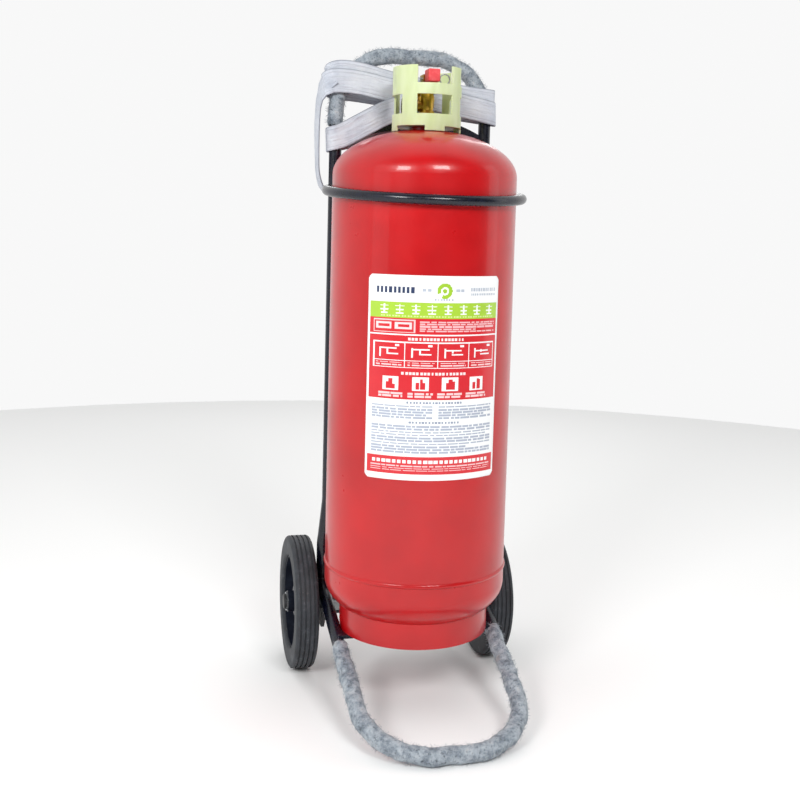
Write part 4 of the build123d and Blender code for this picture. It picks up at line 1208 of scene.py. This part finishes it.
# Each lamp's name, place, width and height in metres, and power in watts.
LAMPS = (
    ("window_left", (-2.0, -2.3, 2.05), (0.9, 0.9), 50),
    ("window_right", (0.3, -2.7, 2.3), (0.95, 0.75), 46),
    ("side_left", (-2.8, -1.2, 1.2), (1.2, 2.8), 8),
    ("side_right", (2.8, -0.6, 1.3), (0.9, 2.6), 6),
    ("back", (0.6, 2.6, 2.2), (1.6, 1.2), 14),
)


class EXTINGUISHER_OT_stage(bpy.types.Operator):
    """Lay a plain pale floor and light it softly"""

    bl_idname = "extinguisher.stage"
    bl_label = "Floor and lights"

    def execute(self, context):
        stage = context.scene.extinguisher_stage
        turns = [math.radians(angle) for angle in range(0, 360, 6)]
        rim = [(FLOOR_RADIUS * math.cos(t), FLOOR_RADIUS * math.sin(t), 0.0) for t in turns]
        mesh = bpy.data.meshes.new("floor")
        mesh.from_pydata(rim, [], [tuple(range(len(rim)))])
        material, _, shader = new_material("plain_floor", "FAFAF9", Roughness=0.9)
        shader.inputs["Base Color"].default_value = (*stage.floor, 1)
        mesh.materials.append(material)
        floor = bpy.data.objects.new("floor", mesh)
        context.scene.collection.objects.link(floor)
        world = bpy.data.worlds.new("studio")
        world.use_nodes = True
        # A white wall stands behind the extinguisher and a dim room in front of it.
        tree = world.node_tree
        back = tree.nodes["Background"]
        way = add_node(tree, "ShaderNodeTexCoord")
        depth = add_node(tree, "ShaderNodeSeparateXYZ", {"Vector": way.outputs["Generated"]})
        share = ranged(tree, depth.outputs["Y"], 0.0, 1.0, -1.0)
        room = ramp(tree, share, (0.3, "6A6C6E"), (0.5, "FFFFFF"))
        tree.links.new(room, back.inputs["Color"])
        back.inputs["Strength"].default_value = stage.sun
        context.scene.world = world
        # The plain transform keeps the enamel as saturated as the real paint.
        context.scene.view_settings.view_transform = "Standard"
        for name, place, size, power in LAMPS:
            data = bpy.data.lights.new(name, "AREA")
            data.shape = "RECTANGLE"
            data.size, data.size_y = size
            data.energy = power
            lamp = bpy.data.objects.new(name, data)
            lamp.location = place
            toward = Vector((0, 0, 0.65)) - Vector(place)
            lamp.rotation_euler = toward.to_track_quat("-Z", "Y").to_euler()
            context.scene.collection.objects.link(lamp)
        return {"FINISHED"}


class EXTINGUISHER_PT_panel(bpy.types.Panel):
    """Sizes, colours and making of the extinguisher"""

    bl_label = "Wheeled fire extinguisher"
    bl_space_type = "VIEW_3D"
    bl_region_type = "UI"
    bl_category = "Extinguisher"

    def draw(self, context):
        for group in GROUPS:
            settings = getattr(context.scene, group)
            for name in settings.bl_rna.properties.keys():
                if name not in ("rna_type", "name"):
                    self.layout.prop(settings, name)
        for operator in OPERATORS:
            self.layout.operator(operator.bl_idname)


GROUPS = {
    "extinguisher_finish": ExtinguisherFinish,
    "extinguisher_hose": ExtinguisherHose,
    "extinguisher_felt": ExtinguisherFelt,
    "extinguisher_stage": ExtinguisherStage,
}
OPERATORS = (
    EXTINGUISHER_OT_camera,
    EXTINGUISHER_OT_finish,
    EXTINGUISHER_OT_hose,
    EXTINGUISHER_OT_felt,
    EXTINGUISHER_OT_label,
    EXTINGUISHER_OT_welds,
    EXTINGUISHER_OT_stage,
)


def register():
    for group in GROUPS.values():
        bpy.utils.register_class(group)
    for name, group in GROUPS.items():
        setattr(bpy.types.Scene, name, PointerProperty(type=group))
    for operator in OPERATORS:
        bpy.utils.register_class(operator)
    bpy.utils.register_class(EXTINGUISHER_PT_panel)


def unregister():
    bpy.utils.unregister_class(EXTINGUISHER_PT_panel)
    for operator in reversed(OPERATORS):
        bpy.utils.unregister_class(operator)
    for name, group in reversed(GROUPS.items()):
        delattr(bpy.types.Scene, name)
        bpy.utils.unregister_class(group)


def main():
    register()
    for operator in OPERATORS:
        family, action = operator.bl_idname.split(".")
        getattr(getattr(bpy.ops, family), action)()


if __name__ == "__main__":
    main()
